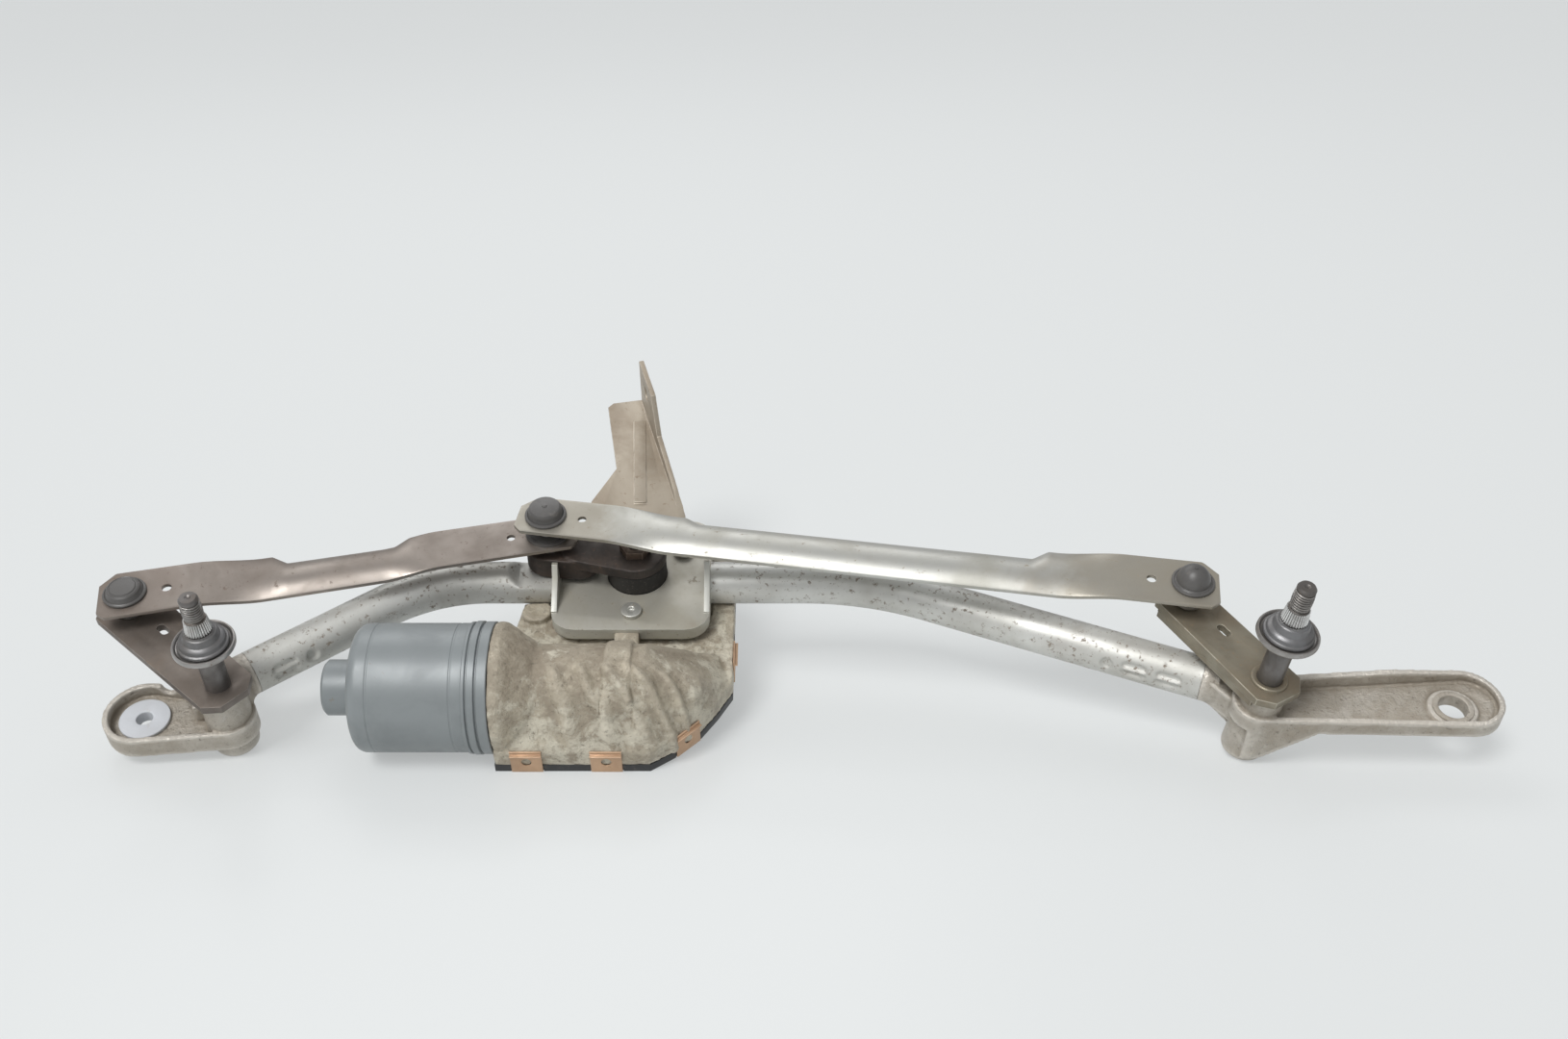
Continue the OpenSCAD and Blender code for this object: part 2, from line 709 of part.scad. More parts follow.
// Cast body without its cavities
module housing_body() {
    shoulder_x = -46;
    notch_w = notch_right - notch_left - 2 * gap;
    translate([0, 0, rim_low]) linear_extrude(roof_h - rim_low) rim_outline();
    hull() {
        along_motor() translate([0, 0, flange_x]) cylinder(h = 5, r = flange_r, $fn = hull_fn);
        along_motor() translate([0, 0, shoulder_x]) cylinder(h = 1, r = tunnel_r, $fn = hull_fn);
    }
    hull() {
        translate([0, 0, roof_h - 1]) linear_extrude(1) polygon(concat(
            [[flange_x + 4, -housing_front]], [for (i = [0 : 3]) front_corner[i]],
            [[chamber_r - 2, -68], [chamber_r - 8, -50], [-45, -plate_front - 6], [flange_x + 4, -55]]
        ));
        along_motor() translate([0, 0, shoulder_x])
            cylinder(h = 10 - shoulder_x, r = tunnel_r, $fn = hull_fn);
        along_motor() translate([0, 0, tail_x + 5]) sphere(9, $fn = hull_fn);
    }
    translate([0, idler_y, motor_h - 4])
        cylinder(h = wheel_bay_h + bay_wall - motor_h + 4, r = wheel_bay_r + bay_wall);
    cylinder(h = neck_h, r = neck_r);
    for (a = screw_angles)
        translate(lift(polar(screw_circle_r, a), roof_h - 1))
            cylinder(h = plate_h - sheet_t - roof_h + 1, r = 6.5);
    along_motor() translate([0, 0, notch_left + gap]) cylinder(h = notch_w, r = tunnel_r + 1.8);
    translate([notch_left + gap, motor_y, roof_h - 1])
        cube([notch_w, motor_offset - plate_front + sheet_t, plate_h - sheet_t - roof_h + 1]);
    translate(lift([-54, -20], roof_h - 1)) cylinder(h = 5, r = 8);
}

module gear_housing() {
    color("beige") tilt_to_rest() difference() {
        intersection() {
            housing_body();
            union() {
                translate([-200, -200, -50]) cube([400, 200 - plate_front - 1, 200]);
                translate([-200, -plate_front - 1.01, -50]) cube([400, 200, 50 + plate_h - sheet_t]);
                cylinder(h = neck_h, r = neck_r);
            }
        }
        translate([0, 0, cover_h]) cylinder(h = roof_in - cover_h, r = chamber_in_r);
        translate([0, idler_y, cover_h]) cylinder(h = roof_in - cover_h, r = pinion_r + spur_module + 1.5);
        translate([0, idler_y, cover_h]) cylinder(h = wheel_bay_h - cover_h, r = wheel_bay_r);
        translate([flange_x + 5, -housing_front + housing_wall, cover_h])
            cube([74, housing_front + motor_y - housing_wall + 8, roof_in - cover_h + 3]);
        translate([flange_x - 1, motor_y, motor_h]) rotate([0, 90, 0])
            cylinder(h = 8, r = can_r - can_wall - 1);
        translate([flange_x, motor_y, motor_h]) rotate([0, 90, 0])
            cylinder(h = tail_x - 4 - flange_x, r = worm_r + 3.5);
        translate([tail_x - 5, motor_y, motor_h]) rotate([0, 90, 0])
            cylinder(h = 12, r = armature_shaft_r + 3);
        translate([flange_x + 6, motor_y, motor_h]) rotate([0, 90, 0])
            cylinder(h = 8, r = armature_shaft_r + 7);
        translate([0, 0, cover_h]) cylinder(h = neck_h, r = shaft_r + 2.5);
        translate([0, idler_y, cover_h]) cylinder(h = wheel_bay_h - cover_h + 1.2, r = 3 + seat);
        translate([0, 0, lip_low - 0.5]) linear_extrude(plate_h) lip_band(-1, sheet_t + 0.5, gap);
        for (a = screw_angles)
            translate(lift(polar(screw_circle_r, a), plate_h - sheet_t - 9))
                cylinder(h = 10, r = 2.5 + running);
        for (x = [-left_wall_x - 56, right_wall_x - 4])
            translate([x, tube_y, tube_h]) rotate([0, 90, 0]) cylinder(h = 60, r = tube_r + gap);
        translate([-200, -200, rim_low - 100]) cube([400, 400, 100]);
        for (x = [-left_wall_x - 0.5, right_wall_x - sheet_t - 0.5])
            translate([x, tube_y - tube_r - wall_slot, tube_h - tube_r + 0.5])
                cube([sheet_t + 1, tube_d + wall_slot + 0.5, tube_d]);
    }
}

// Posts in the cover that carry the circuit board
post_x = [flange_x + 14, -4];
post_y = -housing_front + 10;

module gear_cover() {
    lip = 2;
    color([0.1, 0.1, 0.1]) tilt_to_rest() difference() {
        union() {
            translate([0, 0, cover_h]) linear_extrude(rim_low - cover_h) rim_outline();
            for (x = post_x)
                translate([x, post_y, cover_h]) cylinder(h = cover_t + 3, r = 2.5);
        }
        difference() {
            translate([0, 0, cover_h + cover_t]) linear_extrude(rim_low) union() {
                circle(chamber_in_r);
                polygon(concat(
                    [[-40, -housing_front + housing_wall]],
                    [for (p = front_corner) p + [-0.8, 0.9] * housing_wall],
                    [[chamber_in_r, 0], [-40, 0]]
                ));
                translate([flange_x + 5, -housing_front + housing_wall]) square([70, 40]);
            }
            for (x = post_x)
                translate([x, post_y, cover_h]) cylinder(h = cover_t + lip + 1, r = 2.5);
            translate([0, idler_y, cover_h]) cylinder(h = cover_t + 1.5, r = 5);
        }
        translate([0, idler_y, cover_h + 1]) cylinder(h = 20, r = 3 + seat);
        at_clips() translate([-clip_w / 2 - gap, -1, -1])
            cube([clip_w + 2 * gap, 8 + gap, 1 + clip_lift + 0.7 + seat]);
    }
}

// Places of the spring clips round the rim, each with the outside along -Y
module at_clips() {
    slope = heading(front_corner[2] - front_corner[1]);
    for (x = [-50, -9.5])
        translate([x, -housing_front, cover_h]) children();
    translate(lift((front_corner[1] + front_corner[2]) / 2, cover_h)) rotate(slope) children();
    translate([chamber_r, -48, cover_h]) rotate(90) children();
    for (a = [130, 190, 240])
        rotate(a) translate([0, -chamber_r, cover_h]) children();
}

// Spring clip: a face with a hole, a leg in the cover's pocket and a folded lip
module clip() {
    t = 0.7;
    rise = 16;
    difference() {
        translate([-clip_w / 2, -t - 0.05, clip_lift]) {
            cube([clip_w, t, rise - clip_lift]);
            cube([clip_w, 7, t]);
            translate([0, -1.6, rise - clip_lift - 2.6]) cube([clip_w, 1.7, t]);
        }
        translate([0, 0, rise * 0.5]) rotate([90, 0, 0]) cylinder(h = 6, r = 2.6, center = true);
    }
}

module cover_clips() {
    color("chocolate") tilt_to_rest() at_clips() clip();
}

// Plug socket under the cover, whose lower edge also rests on the table
socket_y = -12;
socket_w = 40;
socket_d = 24;
socket_low = resting_h(-socket_y + socket_d / 2);

module connector_socket() {
    wall = 2;
    color([0.12, 0.12, 0.13]) tilt_to_rest() difference() {
        translate([-socket_w / 2 - 8, socket_y - socket_d / 2, socket_low])
            cube([socket_w, socket_d, cover_h - socket_low]);
        translate([-socket_w / 2 - 8 + wall, socket_y - socket_d / 2 + wall, socket_low - 1])
            cube([socket_w - 2 * wall, socket_d - 2 * wall, cover_h - socket_low - 3]);
    }
}

module connector_pins() {
    rise = cover_h - 4 - socket_low;
    for (x = [-14, -7, 0, 7])
        color("gold") tilt_to_rest() translate([x - 8 - 1, socket_y - 0.4, socket_low + rise * 0.4])
            cube([2, 0.8, rise * 0.6]);
}

// Motor

module motor_can() {
    color("slategray") motor_axis(can_end_x) {
        rotate_extrude() difference() {
            union() {
                square([can_r - 3, can_len]);
                translate([0, 3]) square([can_r, can_len - 3]);
                translate([can_r - 3, 3]) circle(3);
                translate([0, -boss_len]) square([boss_r, boss_len + 1]);
            }
            translate([0, can_wall]) square([can_r - can_wall, can_len]);
            translate([0, can_wall - boss_len]) square([armature_shaft_r + 4.5, boss_len + 1]);
            for (z = [can_len - 9.5, can_len - 5])
                translate([can_r - 0.8, z]) square([2, 2]);
        }
    }
}

module can_seal() {
    color([0.15, 0.15, 0.15]) motor_axis(can_end_x + can_len - 9.4)
        ring(can_r + 0.6, can_r - 0.8 + 0.02, 1.8);
}

module rear_bearing() {
    color("peru") motor_axis(can_end_x - boss_len + can_wall)
        ring(armature_shaft_r + 4.5 - seat, armature_shaft_r + running, 8);
}

module front_bearing() {
    color("lightsteelblue") motor_axis(flange_x + 6)
        ring(armature_shaft_r + 7 - seat, armature_shaft_r + running, 7);
}

module tail_bearing() {
    color("peru") motor_axis(tail_x - 3) ring(armature_shaft_r + 3 - seat, armature_shaft_r + running, 8);
}

module field_magnets() {
    span = 130;
    color("dimgray") motor_axis(can_end_x + 10)
        for (a = [-span / 2, 180 - span / 2]) rotate(a)
            rotate_extrude(angle = span) translate([can_r - can_wall - seat - 8, 0]) square([8, 40]);
}

brush_x = flange_x - 8;

module brush_holder() {
    color("darkgreen") motor_axis(brush_x) difference() {
        ring(can_r - can_wall - seat, 12, 3);
        for (a = [0, 180]) rotate(a) translate([11, -3.2, -1]) cube([14, 6.4, 5]);
    }
}

module carbon_brushes() {
    color([0.2, 0.2, 0.2]) for (a = [0, 180])
        motor_axis(brush_x) rotate(a) translate([9.3, -3, -1.5]) cube([12, 6, 6]);
}

module circuit_board() {
    color("green") tilt_to_rest() difference() {
        translate([flange_x + 7, -housing_front + housing_wall + 1, cover_h + cover_t + 3]) {
            cube([66, 12, 1.6]);
            cube([30, 27, 1.6]);
        }
        for (x = post_x)
            translate([x, post_y, cover_h]) cylinder(h = 12, r = 1);
    }
}

module idler_pin() {
    color("silver") tilt_to_rest() translate([0, idler_y, cover_h + 1])
        cylinder(h = wheel_bay_h + 1.1 - cover_h - 1, r = 3);
}

module shaft_bush() {
    color("peru") tilt_to_rest() translate([0, 0, roof_in])
        ring(shaft_r + 2.5 - seat, shaft_r + running, neck_h - roof_in);
}

module shaft_seal() {
    color([0.1, 0.1, 0.1]) tilt_to_rest() translate([0, 0, roof_h])
        ring(neck_hole_r - gap, neck_r + seat, crank_top - crank_plate_t + 0.7 - roof_h);
}

// Output side

module output_shaft() {
    seat_low = crank_top + 1 - crank_plate_t;
    color("gray") tilt_to_rest() {
        translate([0, 0, cover_h + cover_t + gap])
            cylinder(h = seat_low - cover_h - cover_t - gap, r = shaft_r);
        translate([0, 0, seat_low]) cylinder(h = crank_plate_t, r = shaft_r - 1);
        translate([0, 0, seat_low + crank_plate_t]) cylinder(h = 5.2, r = 4);
    }
}

// Spur or helical gear disc with straight-flanked teeth, one tooth towards +X
module gear_profile(teeth, size, thin) {
    r = teeth * size / 2;
    root = r - 1.25 * size;
    tip = r + size;
    half = 90 / teeth - thin / 2 / r * 180 / PI;
    flare = 20 * size / r;
    polygon([for (i = [0 : teeth - 1]) each [
        polar(root, i * 360 / teeth - half - flare), polar(tip, i * 360 / teeth - half + flare),
        polar(tip, i * 360 / teeth + half - flare), polar(root, i * 360 / teeth + half + flare)
    ]]);
}

module output_gear() {
    color("ivory") tilt_to_rest() translate([0, 0, gear_h]) difference() {
        union() {
            rotate(-90) linear_extrude(gear_t) gear_profile(gear_teeth, spur_module, tooth_thin);
            cylinder(h = roof_in - gear_h - gap, r = shaft_r + 5);
        }
        translate([0, 0, -1]) cylinder(h = gear_t + 10, r = shaft_r + 0.01);
        for (a = [0 : 60 : 300]) rotate(a) translate([gear_r * 0.58, 0, -1]) cylinder(h = gear_t + 2, r = 7);
    }
}

module motor_crank() {
    seat_low = crank_top + 1 - crank_plate_t;
    stem = 19.5;
    color([0.22, 0.18, 0.16]) tilt_to_rest() difference() {
        union() {
            translate([0, 0, seat_low]) linear_extrude(crank_plate_t)
                taper([0, 0], crank_boss_r, polar(stem + 8, crank_park), crank_end_r);
            translate([0, 0, crank_low]) linear_extrude(crank_top - crank_low) difference() {
                taper(polar(stem + crank_end_r, crank_park), crank_end_r, crank_pin, crank_end_r);
                circle(stem);
            }
        }
        translate([0, 0, crank_low]) cylinder(h = 30, r = shaft_r - 1 + 0.01);
        translate(lift(crank_pin, crank_low - 1)) cylinder(h = 30, r = 5 + 0.01);
    }
}

module crank_nut() {
    color("saddlebrown") tilt_to_rest() translate([0, 0, crank_top + 1]) difference() {
        cylinder(h = 4.6, r = 8.7, $fn = 6);
        translate([0, 0, -1]) cylinder(h = 8, r = 4 + 0.02);
    }
}

// Ball stud: a foot on the plate, a stem and a ball whose centre is rise above the plate
module ball_stud(rise) {
    cylinder(h = 1.6, r = 7.5);
    cylinder(h = rise, r = 4);
    translate([0, 0, rise]) sphere(ball_r);
}

module crank_ball_stud() {
    color("silver") tilt_to_rest() translate(lift(crank_pin, crank_top)) {
        translate([0, 0, crank_low - crank_top]) cylinder(h = crank_top - crank_low + 0.5, r = 5);
        ball_stud(low_ball_h - crank_top);
        cylinder(h = high_ball_h - crank_top, r = 4);
        translate([0, 0, high_ball_h - crank_top]) sphere(ball_r);
    }
}

// Gears inside the housing

module idler_gear() {
    twist_rate = lead / (2 * PI * worm_r) / wheel_r * 180 / PI;
    color("ivory") tilt_to_rest() translate([0, idler_y, 0]) difference() {
        union() {
            translate([0, 0, wheel_h]) rotate(-90 + twist_rate * wheel_w / 2)
                linear_extrude(wheel_w, twist = twist_rate * wheel_w, slices = 2)
                    gear_profile(wheel_teeth, wheel_module, tooth_thin * 1.3);
            translate([0, 0, gear_h]) rotate(90 + 180 / pinion_teeth)
                linear_extrude(gear_t + 0.4) gear_profile(pinion_teeth, spur_module, tooth_thin);
            translate([0, 0, gear_h]) cylinder(h = wheel_h - gear_h + 1, r = 8);
        }
        translate([0, 0, gear_h - 1]) cylinder(h = 60, r = 3 + running);
    }
}

module armature_shaft() {
    root = worm_r - 1.25 * wheel_module;
    ridge = worm_r + wheel_module;
    half = 90 / worm_starts - 22;
    color("silver") motor_axis() {
        translate([0, 0, can_end_x - boss_len + can_wall + 0.5])
            cylinder(h = tail_x + 5 - can_end_x + boss_len - can_wall - 0.5, r = armature_shaft_r);
        translate([0, 0, -worm_len / 2]) rotate(90 + 180 * worm_len / lead + 180)
            linear_extrude(worm_len, twist = 360 * worm_len / lead, slices = 84, $fn = 10)
                polygon(concat(
                    [for (a = [-half / 2 : 24 : half / 2]) polar(ridge, a)],
                    [for (a = [half / 2 + 40 : 32 : 360 - half / 2 - 40]) polar(root, a)]
                ));
    }
}

module armature_core() {
    slots = 8;
    color("darkgray") motor_axis(can_end_x + 12) difference() {
        union() {
            cylinder(h = 34, r = 21.5);
            translate([0, 0, -5]) cylinder(h = 44, r = 15);
        }
        translate([0, 0, -6]) cylinder(h = 50, r = armature_shaft_r + 0.01);
        for (i = [0 : slots - 1]) rotate(i * 360 / slots) translate([16.5, -1.2, -1]) cube([6, 2.4, 36]);
    }
}

module commutator() {
    bars = 16;
    color("darkgoldenrod") motor_axis(brush_x - 6) difference() {
        cylinder(h = 14, r = 9);
        translate([0, 0, -1]) cylinder(h = 16, r = armature_shaft_r + 0.01);
        for (i = [0 : bars - 1]) rotate((i + 0.5) * 360 / bars) translate([8.4, -0.25, 2]) cube([2, 0.5, 14]);
    }
}

// Links, drawn from their crank end at x = 0 to their arm end at x = span

// Outline of a link: its front edge, towards +Y, is straight, and its back edge steps in between the pads
pad_step = 8;
end_cut = 8;

function link_front(span, x) = (crank_pad_w + (pad_w - crank_pad_w) * x / span) / 2;

module link_outline(span, bore) {
    back = link_mid_w - crank_pad_w / 2;
    points = [
        [-15, crank_pad_w / 2 - end_cut], [-9, link_front(span, -9)], [span + 8, link_front(span, span + 8)],
        [span + 16, pad_w / 2 - end_cut], [span + 16, -pad_w / 2 + end_cut], [span + 8, -pad_w / 2],
        [span - pad_len, -pad_w / 2], [span - pad_len - pad_step, -back], [pad_len + pad_step, -back],
        [pad_len, -crank_pad_w / 2], [-9, -crank_pad_w / 2], [-15, -crank_pad_w / 2 + end_cut]
    ];
    difference() {
        polygon(points);
        circle(bore);
        translate([span, 0]) circle(bore);
        translate([20, 0]) circle(2.3);
        translate([span - 21, 0]) circle(2.6);
    }
}

// Turned-down edges of a link between its pads, a little inside its outline
module link_folds(span) {
    inset = 0.1;
    low_x = pad_len + pad_step + 2;
    high_x = span - low_x;
    back = link_mid_w - crank_pad_w / 2;
    edges = [
        [link_front(span, low_x) - inset, link_front(span, high_x) - inset],
        [-back + link_t + inset, -back + link_t + inset]
    ];
    for (e = edges)
        translate([0, 0, -fold_depth]) linear_extrude(fold_depth + 0.5) polygon([
            [low_x, e[0]], [high_x, e[1]], [high_x, e[1] - link_t], [low_x, e[0] - link_t]
        ]);
}

module link_plate(span) {
    linear_extrude(link_t) link_outline(span, socket_r + seat);
    link_folds(span);
}

left_span = norm(left_pin - crank_pin);
right_span = norm(right_pin - crank_pin);

module on_left_link() {
    tilt_to_rest() translate(lift(crank_pin, low_ball_h)) rotate(heading(left_pin - crank_pin)) children();
}

module on_right_link() {
    tilt_to_rest() translate(lift(crank_pin, high_ball_h)) rotate(heading(right_pin - crank_pin)) children();
}

module left_link() {
    color([0.45, 0.41, 0.37]) on_left_link() link_plate(left_span);
}

module right_link() {
    color([0.62, 0.62, 0.57]) on_right_link() mirror([0, 1, 0]) link_plate(right_span);
}

// Plastic ball socket through a link's plate, with a flange and a cap of the given dome on top
module ball_socket(dome, open = false) {
    below = 3;
    rotate_extrude() difference() {
        union() {
            translate([0, -below]) square([socket_r, link_t + below + 0.5]);
            translate([0, link_t + 0.05]) square([cap_flange_r, 1.6]);
            translate([0, link_t]) square([socket_r, 3]);
            intersection() {
                translate([0, dome - 14]) circle(14);
                square([socket_r - 0.8, 20]);
            }
        }
        circle(ball_r + 0.15);
        translate([-20, -30]) square([20, 60]);
        if (open) square([ball_r - 0.9, 30]);
    }
}

module left_crank_socket() {
    color([0.2, 0.2, 0.2]) on_left_link() intersection() {
        ball_socket(6, true);
        translate([0, 0, -10]) cylinder(h = 10 + link_t + 2, r = 30);
    }
}

module left_arm_socket() {
    color([0.25, 0.25, 0.25]) on_left_link() translate([left_span, 0, 0]) ball_socket(8.2);
}

module right_crank_socket() {
    color([0.25, 0.25, 0.26]) on_right_link() ball_socket(9.5);
}

module right_arm_socket() {
    color([0.25, 0.25, 0.26]) on_right_link() translate([right_span, 0, 0]) ball_socket(11);
}

module left_arm_stud() {
    foot = left_arm_top + gap;
    color("silver") tilt_to_rest() translate(lift(left_pin, foot)) ball_stud(low_ball_h - foot);
}

module right_arm_stud() {
    stud_gap = 0.8;
    color("silver") right_pivot() translate([right_arm_len, 0, stud_gap]) ball_stud(stud_rise - stud_gap);
}

// Arms and spindles, drawn in their pivot frame

module arm_plate(len, end_w) {
    difference() {
        translate([0, 0, -arm_t]) linear_extrude(arm_t) difference() {
            chamfered_bar(-arm_w / 2 + 1, arm_w, len + 15, end_w, 7);
            circle(spindle_r + 0.01);
            translate([len - 25, 0]) taper([-2, -3], 2.2, [2, -3], 2.2);
        }
    }
    translate([len, 0, -arm_t - 1.2]) cylinder(h = 1.3, r = 6);
}

module left_arm() {
    color([0.33, 0.3, 0.27]) left_pivot() arm_plate(left_arm_len, 32);
}

module right_arm() {
    fold = 4.5;
    fold_start = -4;
    color([0.47, 0.45, 0.36]) right_pivot() {
        arm_plate(right_arm_len, 28);
        translate([fold_start, arm_w / 2 - 2.9, -arm_t - fold])
            cube([right_arm_len + 5 - fold_start, 2, fold + 0.5]);
    }
}

// Spindle with its journal, shaft, knurled cone and thread
module spindle(low, washer_h, tip) {
    cone_low = washer_h + 12;
    translate([0, 0, low]) cylinder(h = washer_h - low, r = spindle_r);
    translate([0, 0, washer_h - 0.5]) cylinder(h = cone_low - washer_h + 0.5, r = spindle_r - 0.3);
    translate([0, 0, cone_low]) cylinder(h = knurl_len, r1 = spindle_r, r2 = thread_r + 0.4);
    translate([0, 0, cone_low + knurl_len - 0.5]) cylinder(h = thread_len - 1, r = thread_r);
    translate([0, 0, tip - 1.5]) cylinder(h = 1.5, r1 = thread_r, r2 = thread_r - 1);
}

module left_spindle() {
    color("dimgray") left_pivot() spindle(left_foot_h + 5.5 - left_arm_top, left_washer_h, left_tip);
}

module right_spindle() {
    color("dimgray") right_pivot() spindle(right_foot_h + 5.5 - right_arm_top, right_washer_h, right_tip);
}

// Dished washer with a turned-up rim
module washer() {
    rotate_extrude() polygon([
        [spindle_r - 0.29, 1.2], [10, 0], [washer_r - 1, 0], [washer_r, 1], [washer_r, 3.4],
        [washer_r - 1.2, 3.4], [washer_r - 2, 2], [spindle_r - 0.29, 2.6]
    ]);
}

// Stepped collar that covers the spindle above the washer
module collar() {
    rotate_extrude() polygon([
        [spindle_r - 0.29, 2.7], [12.6, 2.7], [12.4, 4.4], [9.9, 6.2], [8.4, 8.6], [7.9, 11],
        [spindle_r - 0.29, 11.6]
    ]);
}

// Open ring below the washer
module circlip() {
    difference() {
        ring(spindle_r + 2.2, spindle_r + 0.02, 1.2);
        translate([-3, 2, -1]) cube([6, 10, 4]);
    }
}

module left_washer() {
    color("gray") left_pivot() translate([0, 0, left_washer_h]) washer();
}

module left_collar() {
    color("lightslategray") left_pivot() translate([0, 0, left_washer_h]) collar();
}

module left_circlip() {
    color("dimgray") left_pivot() translate([0, 0, left_washer_h - 1]) circlip();
}

module right_washer() {
    color("gray") right_pivot() translate([0, 0, right_washer_h]) washer();
}

module right_collar() {
    color("lightslategray") right_pivot() translate([0, 0, right_washer_h]) collar();
}

module right_circlip() {
    color("dimgray") right_pivot() translate([0, 0, right_washer_h - 1]) circlip();
}

left_tube();
right_tube();
left_pivot_housing();
right_pivot_housing();
left_lug_grommet();
right_lug_bush();
left_barrel_bushes();
right_barrel_bushes();
motor_bracket();
rear_bracket();
bracket_screws();
gear_housing();
gear_cover();
cover_clips();
connector_socket();
connector_pins();
motor_can();
can_seal();
rear_bearing();
front_bearing();
tail_bearing();
field_magnets();
brush_holder();
carbon_brushes();
circuit_board();
idler_pin();
shaft_bush();
shaft_seal();
output_shaft();
output_gear();
motor_crank();
crank_nut();
crank_ball_stud();
idler_gear();
armature_shaft();
armature_core();
commutator();
left_link();
left_crank_socket();
left_arm_socket();
left_arm_stud();
right_link();
right_crank_socket();
right_arm_socket();
right_arm_stud();
left_arm();
left_spindle();
left_washer();
left_collar();
left_circlip();
right_arm();
right_spindle();
right_washer();
right_collar();
right_circlip();
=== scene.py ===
# %% [markdown]
# # A wiper linkage, dressed in Blender
# The solids of the linkage come from CAD and stay where they are. This lesson gives them the finishes of a
# used car part: galvanised tube, dirty castings, brown stampings, stained paint. It also makes the fine forms
# that solids leave out, such as threads, knurls and rolled edges.

# %% Load the frame
import json
import math

import bmesh
import bpy
import numpy as np
from mathutils import Matrix, Vector, noise


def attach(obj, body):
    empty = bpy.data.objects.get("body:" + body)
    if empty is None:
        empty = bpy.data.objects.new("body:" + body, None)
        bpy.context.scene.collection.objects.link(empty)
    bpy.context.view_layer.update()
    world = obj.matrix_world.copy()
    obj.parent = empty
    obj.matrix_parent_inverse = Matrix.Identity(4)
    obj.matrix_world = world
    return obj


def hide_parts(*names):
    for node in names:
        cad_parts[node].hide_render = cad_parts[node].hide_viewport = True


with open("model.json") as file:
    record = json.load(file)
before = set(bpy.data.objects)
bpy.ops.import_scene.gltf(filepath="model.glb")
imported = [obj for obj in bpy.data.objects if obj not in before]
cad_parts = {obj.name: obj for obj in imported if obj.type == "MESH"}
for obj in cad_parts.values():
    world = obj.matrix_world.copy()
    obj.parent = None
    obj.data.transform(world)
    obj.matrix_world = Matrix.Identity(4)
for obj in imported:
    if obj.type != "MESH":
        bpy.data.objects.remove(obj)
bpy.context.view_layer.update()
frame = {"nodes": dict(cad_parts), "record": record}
nodes = frame["nodes"]

# %% [markdown]
# ## Camera
# The photograph was taken from above the front edge of the table, tipped down by 25 degrees. Both barrels
# stand on the table, so their feet fix the height of the camera, and the spindle spacing fixes its distance.
# Its sideways place is given from the output shaft, which is the axis of the crank's joint.

# %% Make the camera
PHOTO_FOCAL_PX = 1706
PHOTO_WIDTH_PX = 1630
SENSOR_MM = 36.0
CAMERA_TILT = math.radians(25)
SHAFT_TO_CAMERA = 0.0805
CAMERA_Y, CAMERA_HEIGHT = -0.81875, 0.46989
joints = {j["name"]: j for j in frame["record"]["behaviour"]["joints"]}

camera_data = bpy.data.cameras.new("photo_camera")
camera_data.sensor_width = SENSOR_MM
camera_data.lens = SENSOR_MM * PHOTO_FOCAL_PX / PHOTO_WIDTH_PX
camera = bpy.data.objects.new("photo_camera", camera_data)
camera.location = (joints["crank_turn"]["pos_m"][0] + SHAFT_TO_CAMERA, CAMERA_Y, CAMERA_HEIGHT)
camera.rotation_euler = (math.pi / 2 - CAMERA_TILT, 0, 0)
bpy.context.scene.collection.objects.link(camera)
bpy.context.scene.camera = camera
print("camera lens", round(camera_data.lens, 2), "mm")

# %% [markdown]
# ## Shader sums
# A finish is a sum of patterns: a base colour, a darker cloud of dirt, a pale worn edge. Written as nodes
# this is long, so a wire is wrapped in a small class whose plus, minus and times add the Math nodes.

# %% Wires and boards


class Wire:
    """A node's output that can be used in sums."""

    def __init__(self, board, socket):
        self.board = board
        self.socket = socket

    def __add__(self, other):
        return self.board.math("ADD", self, other)

    def __radd__(self, other):
        return self.board.math("ADD", other, self)

    def __sub__(self, other):
        return self.board.math("SUBTRACT", self, other)

    def __rsub__(self, other):
        return self.board.math("SUBTRACT", other, self)

    def __mul__(self, other):
        return self.board.math("MULTIPLY", self, other)

    def __rmul__(self, other):
        return self.board.math("MULTIPLY", other, self)


def socket_key(key):
    """i3 stands for the fourth socket, and Fill_Caps for the socket that is named Fill Caps."""
    return int(key[1:]) if key[1:].isdigit() else key.replace("_", " ")


